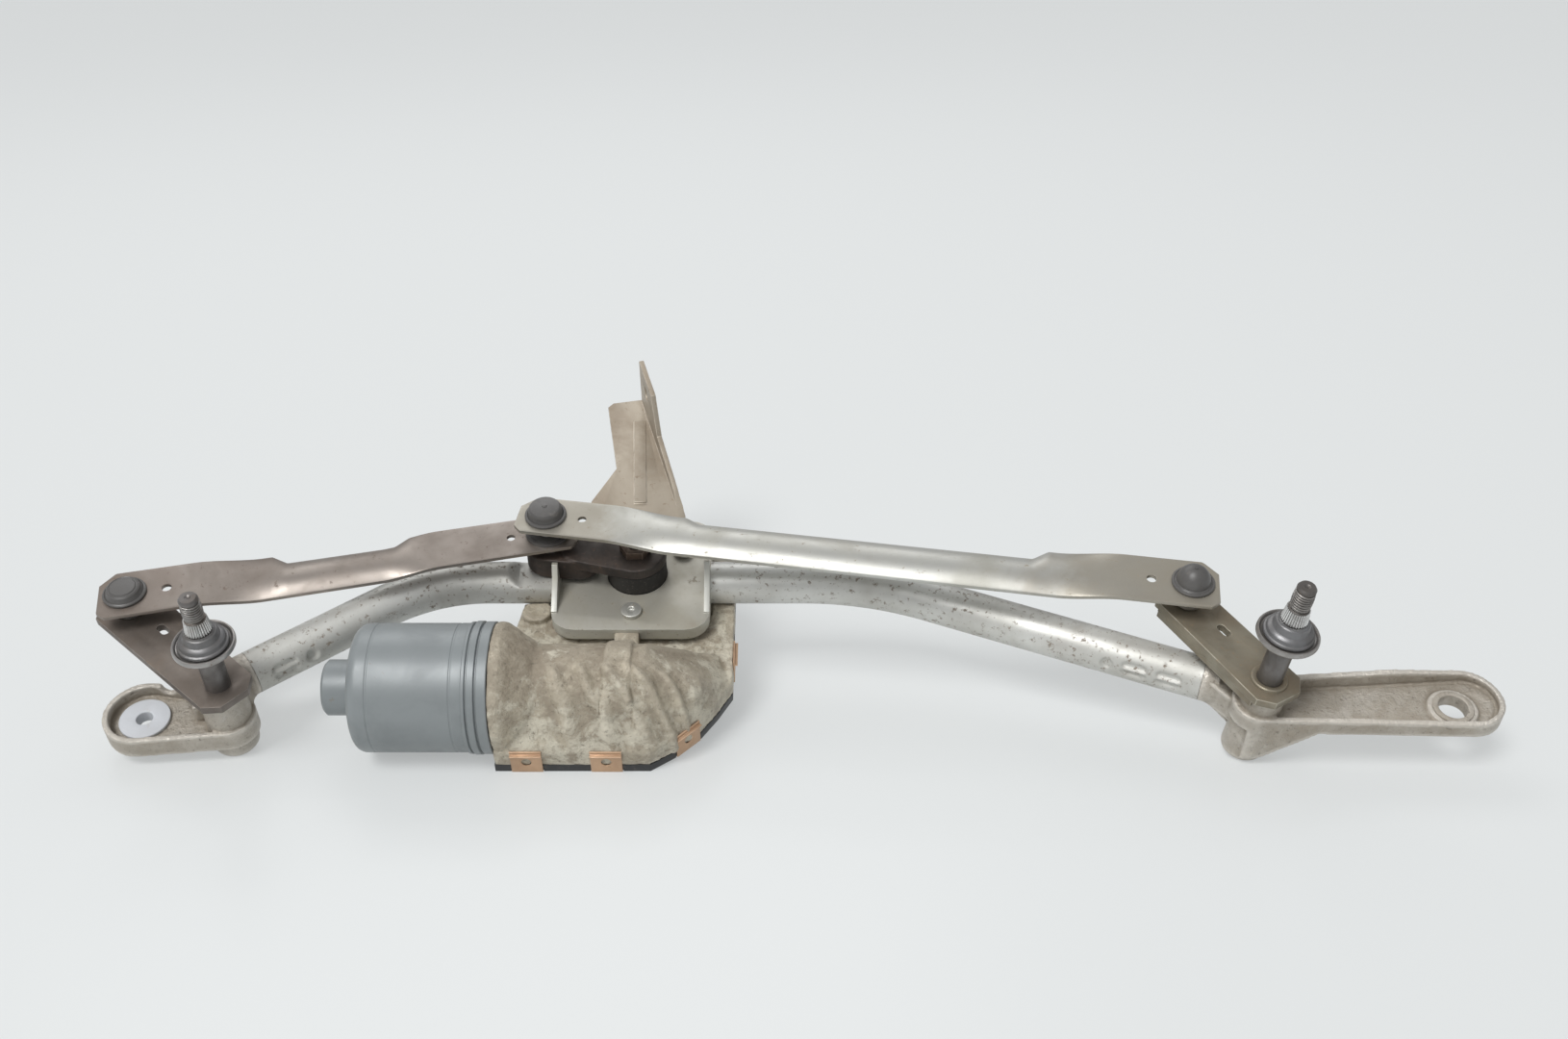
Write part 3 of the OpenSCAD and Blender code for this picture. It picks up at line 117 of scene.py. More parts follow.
class Board:
    """A material and the few ways in which nodes are added to it."""

    def __init__(self, name):
        self.material = bpy.data.materials.new(name)
        self.material.use_nodes = True
        self.tree = self.material.node_tree
        self.tree.nodes.clear()
        self.place = self.node("ShaderNodeTexCoord", "Object")

    def node(self, kind, output=0, settings=None, **sockets):
        made = self.tree.nodes.new(kind)
        for key, value in (settings or {}).items():
            setattr(made, key, value)
        for key, value in sockets.items():
            self.feed(made.inputs[socket_key(key)], value)
        return Wire(self, made.outputs[output])

    def feed(self, socket, value):
        if isinstance(value, Wire):
            self.tree.links.new(value.socket, socket)
        else:
            socket.default_value = value

    def math(self, operation, first, second):
        return self.node("ShaderNodeMath", 0, {"operation": operation}, i0=first, i1=second)

    def noise(self, scale, detail, roughness, distortion=0.0):
        return self.node("ShaderNodeTexNoise", 0, None, Vector=self.place, Scale=scale, Detail=detail,
                         Roughness=roughness, Distortion=distortion)

    def cells(self, scale):
        return self.node("ShaderNodeTexVoronoi", 0, None, Vector=self.place, Scale=scale)

    def step(self, value, low, high):
        """0 below low and 1 above high, with a soft slope between."""
        return self.node("ShaderNodeMapRange", 0, {"interpolation_type": "SMOOTHSTEP"}, Value=value,
                         i1=low, i2=high)

    def mix(self, share, first, second):
        first, second = (c if isinstance(c, Wire) else (*c, 1.0) for c in (first, second))
        return self.node("ShaderNodeMix", 2, {"data_type": "RGBA"}, i0=share, i6=first, i7=second)

    def mark(self, name):
        """A value that the mesh itself carries, 0 where it has none of that name."""
        return self.node("ShaderNodeAttribute", "Fac", {"attribute_name": name})

    def axis(self, letter):
        return self.node("ShaderNodeSeparateXYZ", letter, None, i0=self.place)

    def upward(self):
        """1 on what faces up, 0 on walls."""
        normal = self.node("ShaderNodeTexCoord", "Normal")
        return self.step(self.node("ShaderNodeSeparateXYZ", "Z", None, i0=normal), 0.55, 0.9)

    def finish(self, colour, roughness, metallic, height=None, bump=0.2, depth=0.0004):
        surface = self.tree.nodes.new("ShaderNodeBsdfPrincipled")
        self.feed(surface.inputs["Base Color"], colour if isinstance(colour, Wire) else (*colour, 1.0))
        self.feed(surface.inputs["Roughness"], roughness)
        self.feed(surface.inputs["Metallic"], metallic)
        if height is not None:
            normal = self.node("ShaderNodeBump", 0, None, Strength=bump, Distance=depth, Height=height)
            self.feed(surface.inputs["Normal"], normal)
        end = self.tree.nodes.new("ShaderNodeOutputMaterial")
        self.tree.links.new(surface.outputs[0], end.inputs["Surface"])
        return self.material


print("shader classes ready")

# %% [markdown]
# ## Finishes
# Every metal here has aged in a car's scuttle. Zinc goes dull and gathers brown specks, castings take a
# beige skin, stampings turn brown. One helper mixes these clouds and specks, and each finish sets its own.

# %% Mix worn metal
FINE_SCALE = 900
STAIN_WAVE, STAIN_FADE = 0.04, 0.01


def worn_metal(name, base, shade, speck, cloud_scale, speck_scale, speck_level, rough, spread, metallic,
               settled=0.15, brown_ends=None):
    """Aged metal: settled is the share of dirt on what faces up.

    brown_ends are two places along X, in metres, and what lies past them is stained.
    """
    board = Board(name)
    cloud = board.step(board.noise(cloud_scale, 6, 0.6, 0.4), 0.36, 0.68)
    fine = board.noise(FINE_SCALE, 3, 0.6)
    spots = board.step(board.noise(speck_scale, 5, 0.7), speck_level, speck_level + 0.1)
    stain = board.step(board.noise(cloud_scale * 0.35, 5, 0.65, 0.8), 0.5, 0.72)
    # Bevelled edges are painted paler: partly rubbed bare metal, partly a painted highlight
    worn_edge_and_highlight = board.mark("edge") * board.step(board.noise(90, 4, 0.6), 0.3, 0.6)
    grime = tuple(0.5 * (a + b) for a, b in zip(shade, speck))
    colour = board.mix(cloud * 0.8, base, shade)
    colour = board.mix(stain * 0.35, colour, speck)
    colour = board.mix(spots * 0.75, colour, speck)
    colour = board.mix(board.upward() * (settled + stain * 0.35), colour, grime)
    if brown_ends:
        near, far = brown_ends
        wave = board.axis("X") + (board.noise(60, 6, 0.7) - 0.5) * STAIN_WAVE
        past_far = board.step(wave, far - STAIN_FADE, far + STAIN_FADE)
        past_near = 1.0 - board.step(wave, near - STAIN_FADE, near + STAIN_FADE)
        colour = board.mix((past_far + past_near) * 0.6, colour, grime)
    colour = board.mix(worn_edge_and_highlight * 0.6, colour, tuple(0.1 + 1.4 * c for c in base))
    roughness = rough + cloud * spread + spots * 0.2 + fine * 0.08
    height = fine * 0.6 + cloud * 0.3 - spots * 0.6
    return board.finish(colour, roughness, metallic - spots * (metallic * 0.7) - stain * 0.15, height, 0.15)


print("worn metal can be mixed")

# %% [markdown]
# Each metal of the linkage is one row of this table: the colours of the metal, its clouds and its specks,
# the scales of clouds and specks, the noise level that specks start at, the roughness and its spread, and
# how metallic it is. Some rows go on with the dirt on what faces up, and the right link's with the places of
# its stained ends.

# %% Mix the metals of this linkage
finishes = {}
LINK_ENDS = (joints["right_link_swing"]["pos_m"][0] + 0.035, joints["right_arm_turn"]["pos_m"][0] - 0.095)
METALS = {
    "galvanised_tube": ((0.66, 0.66, 0.63), (0.47, 0.46, 0.42), (0.15, 0.1, 0.06),
                        16, 330, 0.56, 0.36, 0.16, 0.5, 0.0),
    "galvanised_sheet": ((0.54, 0.54, 0.5), (0.4, 0.385, 0.32), (0.21, 0.15, 0.085),
                         26, 240, 0.6, 0.38, 0.16, 0.5, 0.4),
    "brown_sheet": ((0.43, 0.385, 0.315), (0.3, 0.25, 0.19), (0.19, 0.125, 0.075),
                    26, 240, 0.6, 0.38, 0.16, 0.5, 0.3),
    "zinc_link_steel": ((0.52, 0.52, 0.49), (0.4, 0.39, 0.345), (0.22, 0.16, 0.09),
                        18, 300, 0.61, 0.32, 0.18, 0.7, 0.05, LINK_ENDS),
    "brown_link_steel": ((0.33, 0.295, 0.265), (0.22, 0.19, 0.165), (0.13, 0.085, 0.06),
                         20, 300, 0.6, 0.32, 0.2, 0.7),
    "dark_arm_steel": ((0.2, 0.175, 0.155), (0.125, 0.105, 0.09), (0.24, 0.17, 0.11),
                       36, 330, 0.62, 0.38, 0.18, 0.6),
    "chromate_arm_steel": ((0.3, 0.275, 0.215), (0.18, 0.155, 0.115), (0.26, 0.18, 0.1),
                           36, 330, 0.6, 0.36, 0.18, 0.6),
    "dark_steel": ((0.2, 0.19, 0.185), (0.12, 0.11, 0.1), (0.17, 0.12, 0.08),
                   60, 420, 0.62, 0.32, 0.18, 0.8),
    "washer_steel": ((0.4, 0.39, 0.38), (0.23, 0.21, 0.19), (0.14, 0.09, 0.055),
                     50, 420, 0.6, 0.26, 0.18, 0.85),
    "zinc_steel": ((0.55, 0.55, 0.53), (0.4, 0.38, 0.34), (0.22, 0.14, 0.08),
                   60, 420, 0.66, 0.28, 0.15, 0.95),
    "grey_collar": ((0.2, 0.2, 0.205), (0.13, 0.125, 0.12), (0.11, 0.09, 0.07),
                    60, 420, 0.64, 0.34, 0.14, 0.6),
    "brown_black_steel": ((0.06, 0.05, 0.045), (0.03, 0.026, 0.024), (0.16, 0.1, 0.065),
                          50, 360, 0.6, 0.42, 0.2, 0.4),
    "rusty_nut_steel": ((0.14, 0.1, 0.075), (0.085, 0.062, 0.048), (0.07, 0.045, 0.03),
                        90, 420, 0.58, 0.42, 0.2, 0.5),
    "core_steel": ((0.4, 0.4, 0.41), (0.3, 0.3, 0.3), (0.2, 0.15, 0.1),
                   28, 260, 0.62, 0.42, 0.2, 0.8),
    "copper_spring": ((0.55, 0.37, 0.24), (0.45, 0.295, 0.19), (0.28, 0.17, 0.1),
                      50, 380, 0.64, 0.34, 0.16, 0.55),
    "sintered_bronze": ((0.5, 0.33, 0.17), (0.35, 0.22, 0.11), (0.2, 0.12, 0.06),
                        28, 260, 0.62, 0.42, 0.2, 0.8),
    "tinned_brass": ((0.66, 0.58, 0.38), (0.5, 0.43, 0.28), (0.3, 0.22, 0.12),
                     28, 260, 0.62, 0.42, 0.2, 0.8),
    "bright_knurl": ((0.72, 0.72, 0.71), (0.52, 0.51, 0.5), (0.3, 0.26, 0.22),
                     120, 500, 0.68, 0.26, 0.1, 0.9),
}
for metal, settings in METALS.items():
    finishes[metal] = worn_metal(metal, *settings)
print("metal finishes", len(finishes))

# %% [markdown]
# Castings are not bare metal any more: a chalky skin of oxide and road dirt covers them. The pattern is broad
# blotches with fine pits. A mark on the mesh says how hollow the skin is at each point, so that the nooks are
# darker and the ridges paler, partly rubbed and partly a painted highlight. On the gear housing the white
# crust is thickest near the table.

# %% Mix the castings' skin
CRUST_FULL_Z, CRUST_NONE_Z = 0.024, 0.082


def weathered_casting(name, skin, dirt, chalk, blotch, metallic, chalk_level, wear_and_highlight, crust=0.0):
    """The dirty skin of a casting: chalk starts at chalk_level, and the argument after it darkens the nooks
    and makes the ridges paler, partly worn and partly a painted highlight.
    """
    board = Board(name)
    low_down = 1.0 - board.step(board.axis("Z"), CRUST_FULL_Z, CRUST_NONE_Z)
    broad = board.step(board.noise(blotch, 7, 0.62, 0.3), 0.36, 0.66)
    mottle = board.step(board.noise(blotch * 7, 8, 0.72, 0.3), 0.4, 0.62)
    white_field = board.noise(blotch * 3, 9, 0.76, 0.4) + low_down * crust - crust * 0.4
    white = board.step(white_field, chalk_level, chalk_level + 0.14)
    specks = board.step(board.noise(blotch * 20, 5, 0.7), 0.57, 0.68)
    pits = board.cells(700)
    grit = board.noise(FINE_SCALE, 4, 0.65)
    hollow = board.mark("hollow")
    nook = board.step(hollow + broad * 0.15, 0.08, 0.5)
    # Ridges are painted paler: partly rubbed wear, partly a painted highlight
    ridge = board.step(mottle * 0.1 - hollow, 0.1, 0.4)
    colour = board.mix(broad * 0.7, skin, dirt)
    colour = board.mix(mottle * 0.5, colour, dirt)
    colour = board.mix((1.0 - low_down) * crust * 2.5, colour, dirt)
    colour = board.mix(white * 0.75, colour, chalk)
    colour = board.mix(specks * 0.6, colour, tuple(c * 0.5 for c in dirt))
    colour = board.mix(nook * (0.7 * wear_and_highlight), colour, tuple(c * 0.8 for c in dirt))
    colour = board.mix(ridge * (0.55 * wear_and_highlight), colour, tuple(0.1 + 1.15 * c for c in skin))
    roughness = 0.42 + broad * 0.16 + white * 0.2 - ridge * 0.08
    height = pits * 0.5 + grit * 0.6 + mottle * 0.9 + white * 0.5 - specks * 0.5
    return board.finish(colour, roughness, metallic - broad * 0.2, height, 0.5, 0.0007)


finishes["cast_aluminium"] = weathered_casting(
    "cast_aluminium", (0.52, 0.485, 0.43), (0.33, 0.285, 0.225), (0.62, 0.6, 0.56),
    20, 0.5, 0.58, 1.0)
finishes["worn_cast_housing"] = weathered_casting(
    "worn_cast_housing", (0.5, 0.445, 0.345), (0.21, 0.172, 0.125), (0.64, 0.605, 0.5),
    24, 0.2, 0.52, 0.28, 0.14)
print("casting finishes ready")

# %% [markdown]
# The can is sprayed with a blue-grey paint, with dark clouds where oil has run over it and small chips in it.
# Plastics and rubber are plain, with a fine grain and a little dust on them.

# %% Mix paint, plastics and rubber


def stained_paint(name, paint, stain, chip):
    board = Board(name)
    runs = board.step(board.noise(15, 7, 0.65, 0.6), 0.52, 0.72)
    clouds = board.step(board.noise(45, 6, 0.6, 0.5), 0.4, 0.7)
    chips = board.step(board.noise(190, 6, 0.7), 0.66, 0.72)
    orange_peel = board.noise(650, 2, 0.5)
    colour = board.mix(clouds * 0.5, paint, tuple(c * 0.8 for c in paint))
    colour = board.mix(runs * 0.6, colour, stain)
    colour = board.mix(chips * 0.7, colour, chip)
    roughness = 0.36 + runs * 0.2 + clouds * 0.12
    return board.finish(colour, roughness, 0.1, orange_peel * 0.5 - chips * 0.8, 0.12, 0.0003)


def moulded_plastic(name, base, shade, rough, grain, dust, dust_scale=120):
    board = Board(name)
    cloud = board.step(board.noise(40, 5, 0.6), 0.4, 0.7)
    fine = board.noise(grain, 3, 0.6)
    powder = board.step(board.noise(dust_scale, 7, 0.7), 0.56, 0.7)
    colour = board.mix(cloud * 0.7, base, shade)
    colour = board.mix(powder * 0.35, colour, dust)
    return board.finish(colour, rough + cloud * 0.12 + powder * 0.1, 0.0, fine, 0.15, 0.0003)


finishes["blue_grey_paint"] = stained_paint("blue_grey_paint", (0.23, 0.25, 0.255), (0.12, 0.12, 0.115),
                                            (0.2, 0.16, 0.12))
PLASTICS = {
    "black_plastic": ((0.022, 0.022, 0.023), (0.038, 0.036, 0.034), 0.42, 1200, (0.16, 0.14, 0.12)),
    "dark_cap_plastic": ((0.1, 0.096, 0.092), (0.065, 0.062, 0.06), 0.36, 1200, (0.2, 0.18, 0.16)),
    "black_rubber": ((0.014, 0.013, 0.012), (0.03, 0.027, 0.025), 0.6, 420, (0.3, 0.25, 0.21), 640),
    "pale_rubber": ((0.6, 0.62, 0.65), (0.52, 0.53, 0.55), 0.4, 900, (0.45, 0.42, 0.38)),
    "moulded_nylon": ((0.7, 0.66, 0.55), (0.6, 0.56, 0.45), 0.45, 1200, (0.4, 0.36, 0.28)),
    "board_green": ((0.03, 0.16, 0.06), (0.02, 0.1, 0.04), 0.4, 1200, (0.05, 0.05, 0.04)),
    "carbon": ((0.035, 0.035, 0.036), (0.05, 0.05, 0.05), 0.6, 1200, (0.08, 0.08, 0.08)),
    "ferrite": ((0.07, 0.07, 0.07), (0.05, 0.05, 0.05), 0.6, 1200, (0.1, 0.1, 0.1)),
}
for plastic, settings in PLASTICS.items():
    finishes[plastic] = moulded_plastic(plastic, *settings)
print("all finishes", len(finishes))

# %% [markdown]
# ## Dress the CAD nodes
# Each node of the frame names a finish slot in the record, so the finishes go on by that name.

# %% Give each node its finish


def dress(obj, finish):
    if not obj.data.materials:
        obj.data.materials.append(finishes[finish])
    for slot in obj.material_slots:
        slot.material = finishes[finish]


for part in frame["record"]["subparts"]:
    dress(nodes[part["node"]], part["material_slot"])

# %% [markdown]
# ## Places on the linkage
# The whole linkage lies tilted on the table. All its heights are easier to say square to the linkage, from
# the output shaft, so one matrix takes a place there to the table's frame. The joints of the frame give it.

# %% Find the linkage's own frame
CRANK_JOINT_H = 40
LEFT_PIVOT = (-204.5, -92.1, 48.5)
body_of_node = {n: b for b, names in frame["record"]["behaviour"]["bodies"].items() for n in names}
slot_of_node = {p["node"]: p["material_slot"] for p in frame["record"]["subparts"]}
MM = 0.001
up_axis = -Vector(joints["crank_turn"]["axis"])
REST_TILT = math.atan2(-up_axis.y, up_axis.z)
tilt = Matrix.Rotation(REST_TILT, 4, "X")
linkage = Matrix.Translation(Vector(joints["crank_turn"]["pos_m"]) - CRANK_JOINT_H * MM * up_axis) @ tilt
left_pivot = linkage @ Matrix.Translation(Vector(LEFT_PIVOT) * MM)
right_base = Vector(joints["right_arm_turn"]["pos_m"])
RIGHT_LEAN = math.radians(4.4)
right_pivot = Matrix.Translation(right_base) @ tilt @ Matrix.Rotation(RIGHT_LEAN, 4, "Y")
print("tilt", round(math.degrees(REST_TILT), 2), "right pivot", [round(c, 4) for c in right_base])

# %% [markdown]
# ## Pieces
# A finished mesh becomes a piece in one way: it rides on a body of the mechanism, mostly stands in for a CAD
# node, and by default takes the finish of that node's slot. Meshes made from points get their normals turned
# outward first.

# %% Add pieces


def smooth_step(x, low, high):
    t = min(max((x - low) / (high - low), 0.0), 1.0)
    return t * t * (3 - 2 * t)


def add_piece(name, mesh, node, finish=None, stands_for=True):
    """Links a finished mesh as a piece on a CAD node's body, by default in the node's place."""
    finish = finish or slot_of_node[node]
    piece = bpy.data.objects.new(name, mesh)
    bpy.context.scene.collection.objects.link(piece)
    mesh.materials.clear()
    mesh.materials.append(finishes[finish])
    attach(piece, body_of_node[node])
    if stands_for:
        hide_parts(node)
    return piece


def smooth_mesh(mesh, angle):
    mesh.polygons.foreach_set("use_smooth", [True] * len(mesh.polygons))
    mesh.set_sharp_from_angle(angle=math.radians(angle))


def faced_mesh(name, verts, faces, angle):
    """A mesh with its normals outward, smooth up to an angle."""
    mesh = bpy.data.meshes.new(name)
    mesh.from_pydata(verts, [], faces)
    shape = bmesh.new()
    shape.from_mesh(mesh)
    bmesh.ops.recalc_face_normals(shape, faces=shape.faces)
    shape.to_mesh(mesh)
    shape.free()
    smooth_mesh(mesh, angle)
    return mesh


# %% [markdown]
# ## Soft edges
# No pressed or turned edge is sharp, and a thin line of light along its edges is what makes a piece look
# real. A copy of the node is merged, its flat triangles are joined, and its sharp edges are bevelled. The
# new faces are marked in an attribute, so that a finish can paint them paler: partly bare metal, partly a
# painted highlight.

# %% Bevel the stamped and turned pieces
MERGE_DISTANCE = 2e-6
FLAT_ANGLE, SHARP_ANGLE, SMOOTH_ANGLE = 0.6, 32, 38
OTHER_FINISH = {"right_lug_bush": "cast_aluminium", "bracket_screws": "zinc_link_steel",
                "rear_bracket": "brown_sheet"}
SOFT_WIDTHS = {
    "motor_bracket": 0.6, "bracket_screws": 0.4, "gear_cover": 0.5, "cover_clips": 0.25,
    "connector_socket": 0.4, "crank_nut": 0.5, "left_arm": 0.5, "shaft_seal": 0.6, "left_lug_grommet": 0.5,
    "right_lug_bush": 0.5, "right_arm": 0.35, "rear_bracket": 0.35,
}
# Clamping would make the bevels of these two too thin, because they have short edges
UNCLAMPED = ("right_arm", "rear_bracket")


def merged_copy(node):
    shape = bmesh.new()
    shape.from_mesh(nodes[node].data)
    bmesh.ops.remove_doubles(shape, verts=shape.verts, dist=MERGE_DISTANCE)
    return shape


def soften(node, width):
    shape = merged_copy(node)
    bmesh.ops.dissolve_limit(shape, angle_limit=math.radians(FLAT_ANGLE), verts=shape.verts,
                             edges=shape.edges)
    edge_mark = shape.faces.layers.float.new("edge")
    sharp = [e for e in shape.edges if e.calc_face_angle(0) > math.radians(SHARP_ANGLE)]
    made = bmesh.ops.bevel(shape, geom=sharp, offset=width * MM, offset_type="OFFSET", segments=2,
                           profile=0.6, affect="EDGES", clamp_overlap=node not in UNCLAMPED)
    for face in made["faces"]:
        face[edge_mark] = 1.0
    mesh = bpy.data.meshes.new(node + "_soft")
    shape.to_mesh(mesh)
    shape.free()
    smooth_mesh(mesh, SMOOTH_ANGLE)
    add_piece(node + "_soft", mesh, node, OTHER_FINISH.get(node))


for node_name, bevel in SOFT_WIDTHS.items():
    soften(node_name, bevel)
print("softened", len(SOFT_WIDTHS), "nodes")

# %% [markdown]
# ## Castings
# Soft ribs fan out over the front shoulder of the gear housing. They could be modelled one by one, but a wave
# that runs across the shoulder and fades at its borders gives all of them with one rule.

# %% Shape the housing's ribs
RIB_PITCH, RIB_SLANT, RIB_RISE = 13.3, 0.45, 3.0
RIB_FIRST_X, RIB_FIRST_Y = -24.2, -85.0


def rib_height(place, normal):
    """Height in mm of the soft ribs, at a place of the linkage in mm."""
    run = RIB_FIRST_Y - place.y
    fan = RIB_SLANT + 0.012 * (place.x - RIB_FIRST_X)
    wobble = 2.5 * noise.noise(place * 0.06)
    wave = 0.5 + 0.5 * math.cos(math.tau * (place.x - RIB_FIRST_X - fan * run + wobble) / RIB_PITCH)
    along = smooth_step(run, -1, 8) * (1 - smooth_step(run, 24, 30))
    across = smooth_step(place.x, -46, -34) * (1 - smooth_step(place.x, 26, 40))
    facing = max(0.0, 0.7 * (normal.z - normal.y))
    return RIB_RISE * wave ** 2 * along * across * min(facing, 1.0)


print("ribs every", RIB_PITCH, "mm")

# %% [markdown]
# The finishes make a skin darker where it is hollow and paler on its ridges. To find such places, the points
# are
# smoothed many times: in a hollow the smoothed skin ends up above the real one, and on a ridge below it. The
# height between is kept as a mark.

# %% Mark hollows and ridges
HOLLOW_ROUNDS = 24


def mark_hollows(mesh):
    """Store how far in mm a smoothed skin lies above each point: over 0 in hollows, under 0 on ridges."""
    place = np.empty(len(mesh.vertices) * 3)
    mesh.vertices.foreach_get("co", place)
    place = place.reshape(-1, 3) / MM
    normal = np.empty(place.size)
    mesh.vertices.foreach_get("normal", normal)
    ends = np.empty(len(mesh.edges) * 2, dtype=np.int32)
    mesh.edges.foreach_get("vertices", ends)
    start, stop = ends[0::2], ends[1::2]
    neighbours = np.bincount(ends, minlength=len(place))
    soft = place
    for _ in range(HOLLOW_ROUNDS):
        total = [np.bincount(start, axis[stop], len(place)) + np.bincount(stop, axis[start], len(place))
                 for axis in soft.T]
        soft = np.stack(total, axis=1) / neighbours[:, None]
    above = ((soft - place) * normal.reshape(-1, 3)).sum(axis=1)
    mesh.attributes.new("hollow", "FLOAT", "POINT").data.foreach_set("value", above)
    print("skin from", round(above.min(), 2), "to", round(above.max(), 2), "mm")


# %% [markdown]
# A die casting has rounded inside and outside corners everywhere. A voxel remesh of the solid, followed by a
# little smoothing, gives just that: it melts every corner by about the size of a voxel. Then each point moves
# a little along its normal, for the lumps of the skin and for the ribs.

# %% Melt the corners of the castings


def cast(node, voxel, rounds, lumps, ribs=None):
    """A node with melted corners; voxel and the height of its lumps are in mm."""
    shape = merged_copy(node)
    mesh = bpy.data.meshes.new(node + "_cast")
    shape.to_mesh(mesh)
    shape.free()
    rough = bpy.data.objects.new(node + "_rough", mesh)
    bpy.context.scene.collection.objects.link(rough)
    remesh = rough.modifiers.new("melt", "REMESH")
    remesh.mode = "VOXEL"
    remesh.voxel_size = voxel * MM
    relax = rough.modifiers.new("relax", "SMOOTH")
    relax.factor = 0.5
    relax.iterations = rounds
    done = bpy.data.meshes.new_from_object(rough.evaluated_get(bpy.context.evaluated_depsgraph_get()))
    bpy.data.objects.remove(rough)
    flat = linkage.inverted()
    turn = flat.to_3x3()
    moves = []
    for vert in done.vertices:
        place, normal = flat @ vert.co / MM, turn @ vert.normal
        rise = lumps * (noise.noise(place * 0.11) + 0.4 * noise.noise(place * 0.4))
        rise += ribs(place, normal) if ribs else 0.0
        moves.append(vert.co + vert.normal * rise * MM)
    done.vertices.foreach_set("co", [c for move in moves for c in move])
    done.polygons.foreach_set("use_smooth", [True] * len(done.polygons))
    mark_hollows(done)
    print(node, "cast with", len(done.polygons), "faces")
    add_piece(node + "_cast", done, node)


cast("gear_housing", 1.0, 3, 0.5, rib_height)
cast("left_pivot_housing", 0.6, 3, 0.12)
cast("right_pivot_housing", 0.65, 3, 0.12)
cast("motor_crank", 0.6, 4, 0.1)

# %% [markdown]
# ## Frame tubes
# Each tube is one circle swept along a line with a bend. The points of that line stand close together where
# the tube is pressed and further apart along the plain rest.

# %% Lay the tubes' paths
PRESSED_LEN, PRESSED_STEP, PLAIN_STEP = 56.0, 0.7, 2.0


def bend_path(first, corner, last, radius):
    """Points along a line that turns once, each with its heading and its distance from the start."""
    a, b, c = (Vector(p) for p in (first, corner, last))
    one, two = (b - a).normalized(), (c - b).normalized()
    start = math.atan2(one.y, one.x)
    turn = math.atan2(one.x * two.y - one.y * two.x, one.dot(two))
    cut = radius * math.tan(abs(turn) / 2)
    side = math.copysign(1, turn)
    centre = b - cut * one + side * radius * Vector((-one.y, one.x))
    lengths = ((b - a).length - cut, radius * abs(turn), (c - b).length - cut)
    total = sum(lengths)
    plain_count = round((total - PRESSED_LEN) / PLAIN_STEP)
    stops = np.arange(0, PRESSED_LEN, PRESSED_STEP).tolist()
    stops += np.linspace(PRESSED_LEN, total, plain_count).tolist()
    places = []
    for s in stops:
        if s < lengths[0]:
            places.append((a + s * one, start, s))
        elif s < lengths[0] + lengths[1]:
            angle = side * (s - lengths[0]) / radius
            spoke = Vector((math.sin(start + angle), -math.cos(start + angle))) * side * radius
            places.append((centre + spoke, start + angle, s))
        else:
            places.append((b + (s - lengths[0] - lengths[1] + cut) * two, math.atan2(two.y, two.x), s))
    return places


left_path = bend_path((-196.5, -69.7), (-112, -4), (-44.5, -4), 90)
right_path = bend_path((297.5, -73.7), (126.5, -4), (40.5, -4), 180)
print("tubes", round(left_path[-1][2]), "and", round(right_path[-1][2]), "mm long")

# %% [markdown]
# Near its end a press has locked each tube on the housing's spigot, with a round dimple and long nicks. The
# sweep knows how far round and along each point is, so the pressed marks are smooth dents in its radius.

# %% Sweep the tubes
TUBE_R, BORE_R, TUBE_H, BORE_SKIP = 11.5, 9.5, 32.0, 6
# The left tube is pressed flat under the crank: over its last 17.5 mm, up to this height, after a soft blend
FLAT_LEN, FLAT_TOP, FLAT_BLEND = 17.5, 37.6, 10.0


def dent_depth(s, angle, dents):
    """Depth of the pressed marks at a distance along and an angle round the tube.

    A dent is its place and half length along, its angle and half width round, its depth and its inner ridge.
    """
    depth = 0.0
    for along, half_along, around, half_around, deep, ridge in dents:
        u = abs(s - along) / half_along
        w = abs(math.remainder(angle - around, math.tau)) * TUBE_R / half_around
        straight = 0.4 if ridge else 0.0
        reach = math.hypot(max(u - straight, 0), max(w - straight, 0)) / (1 - straight)
        depth += (1 - smooth_step(reach, 0.55, 1.0)) * (deep - ridge * (1 - smooth_step(w, 0.0, 0.45)))
    return depth


def sweep_tube(name, node, places, dents, flat=None, around=96):
    verts, faces = [], []
    bore_places = places[::-BORE_SKIP]
    if (len(places) - 1) % BORE_SKIP:
        bore_places = bore_places + [places[0]]
    for radius, path in ((TUBE_R, places), (BORE_R, bore_places)):
        for place, heading, s in path:
            for k in range(around):
                angle = math.tau * k / around
                r = radius - (dent_depth(s, angle, dents) if radius == TUBE_R else 0)
                across, rise = r * math.cos(angle), r * math.sin(angle)
                if flat:
                    share = smooth_step(s, flat[0] - FLAT_BLEND, flat[0])
                    limit = TUBE_R + share * (flat[1] - TUBE_H - TUBE_R)
                    rise = min(rise, limit - (TUBE_R - radius))
                verts.append(linkage @ (Vector((place.x - across * math.sin(heading),
                                                place.y + across * math.cos(heading), TUBE_H + rise)) * MM))
    count = len(verts) // around
    for i in range(count):
        for k in range(around):
            a, b = i * around + k, i * around + (k + 1) % around
            c, d = ((i + 1) % count) * around + (k + 1) % around, ((i + 1) % count) * around + k
            faces.append((a, d, c, b))
    add_piece(name, faced_mesh(name, verts, faces, 50), node)
    print(name, len(faces), "faces")


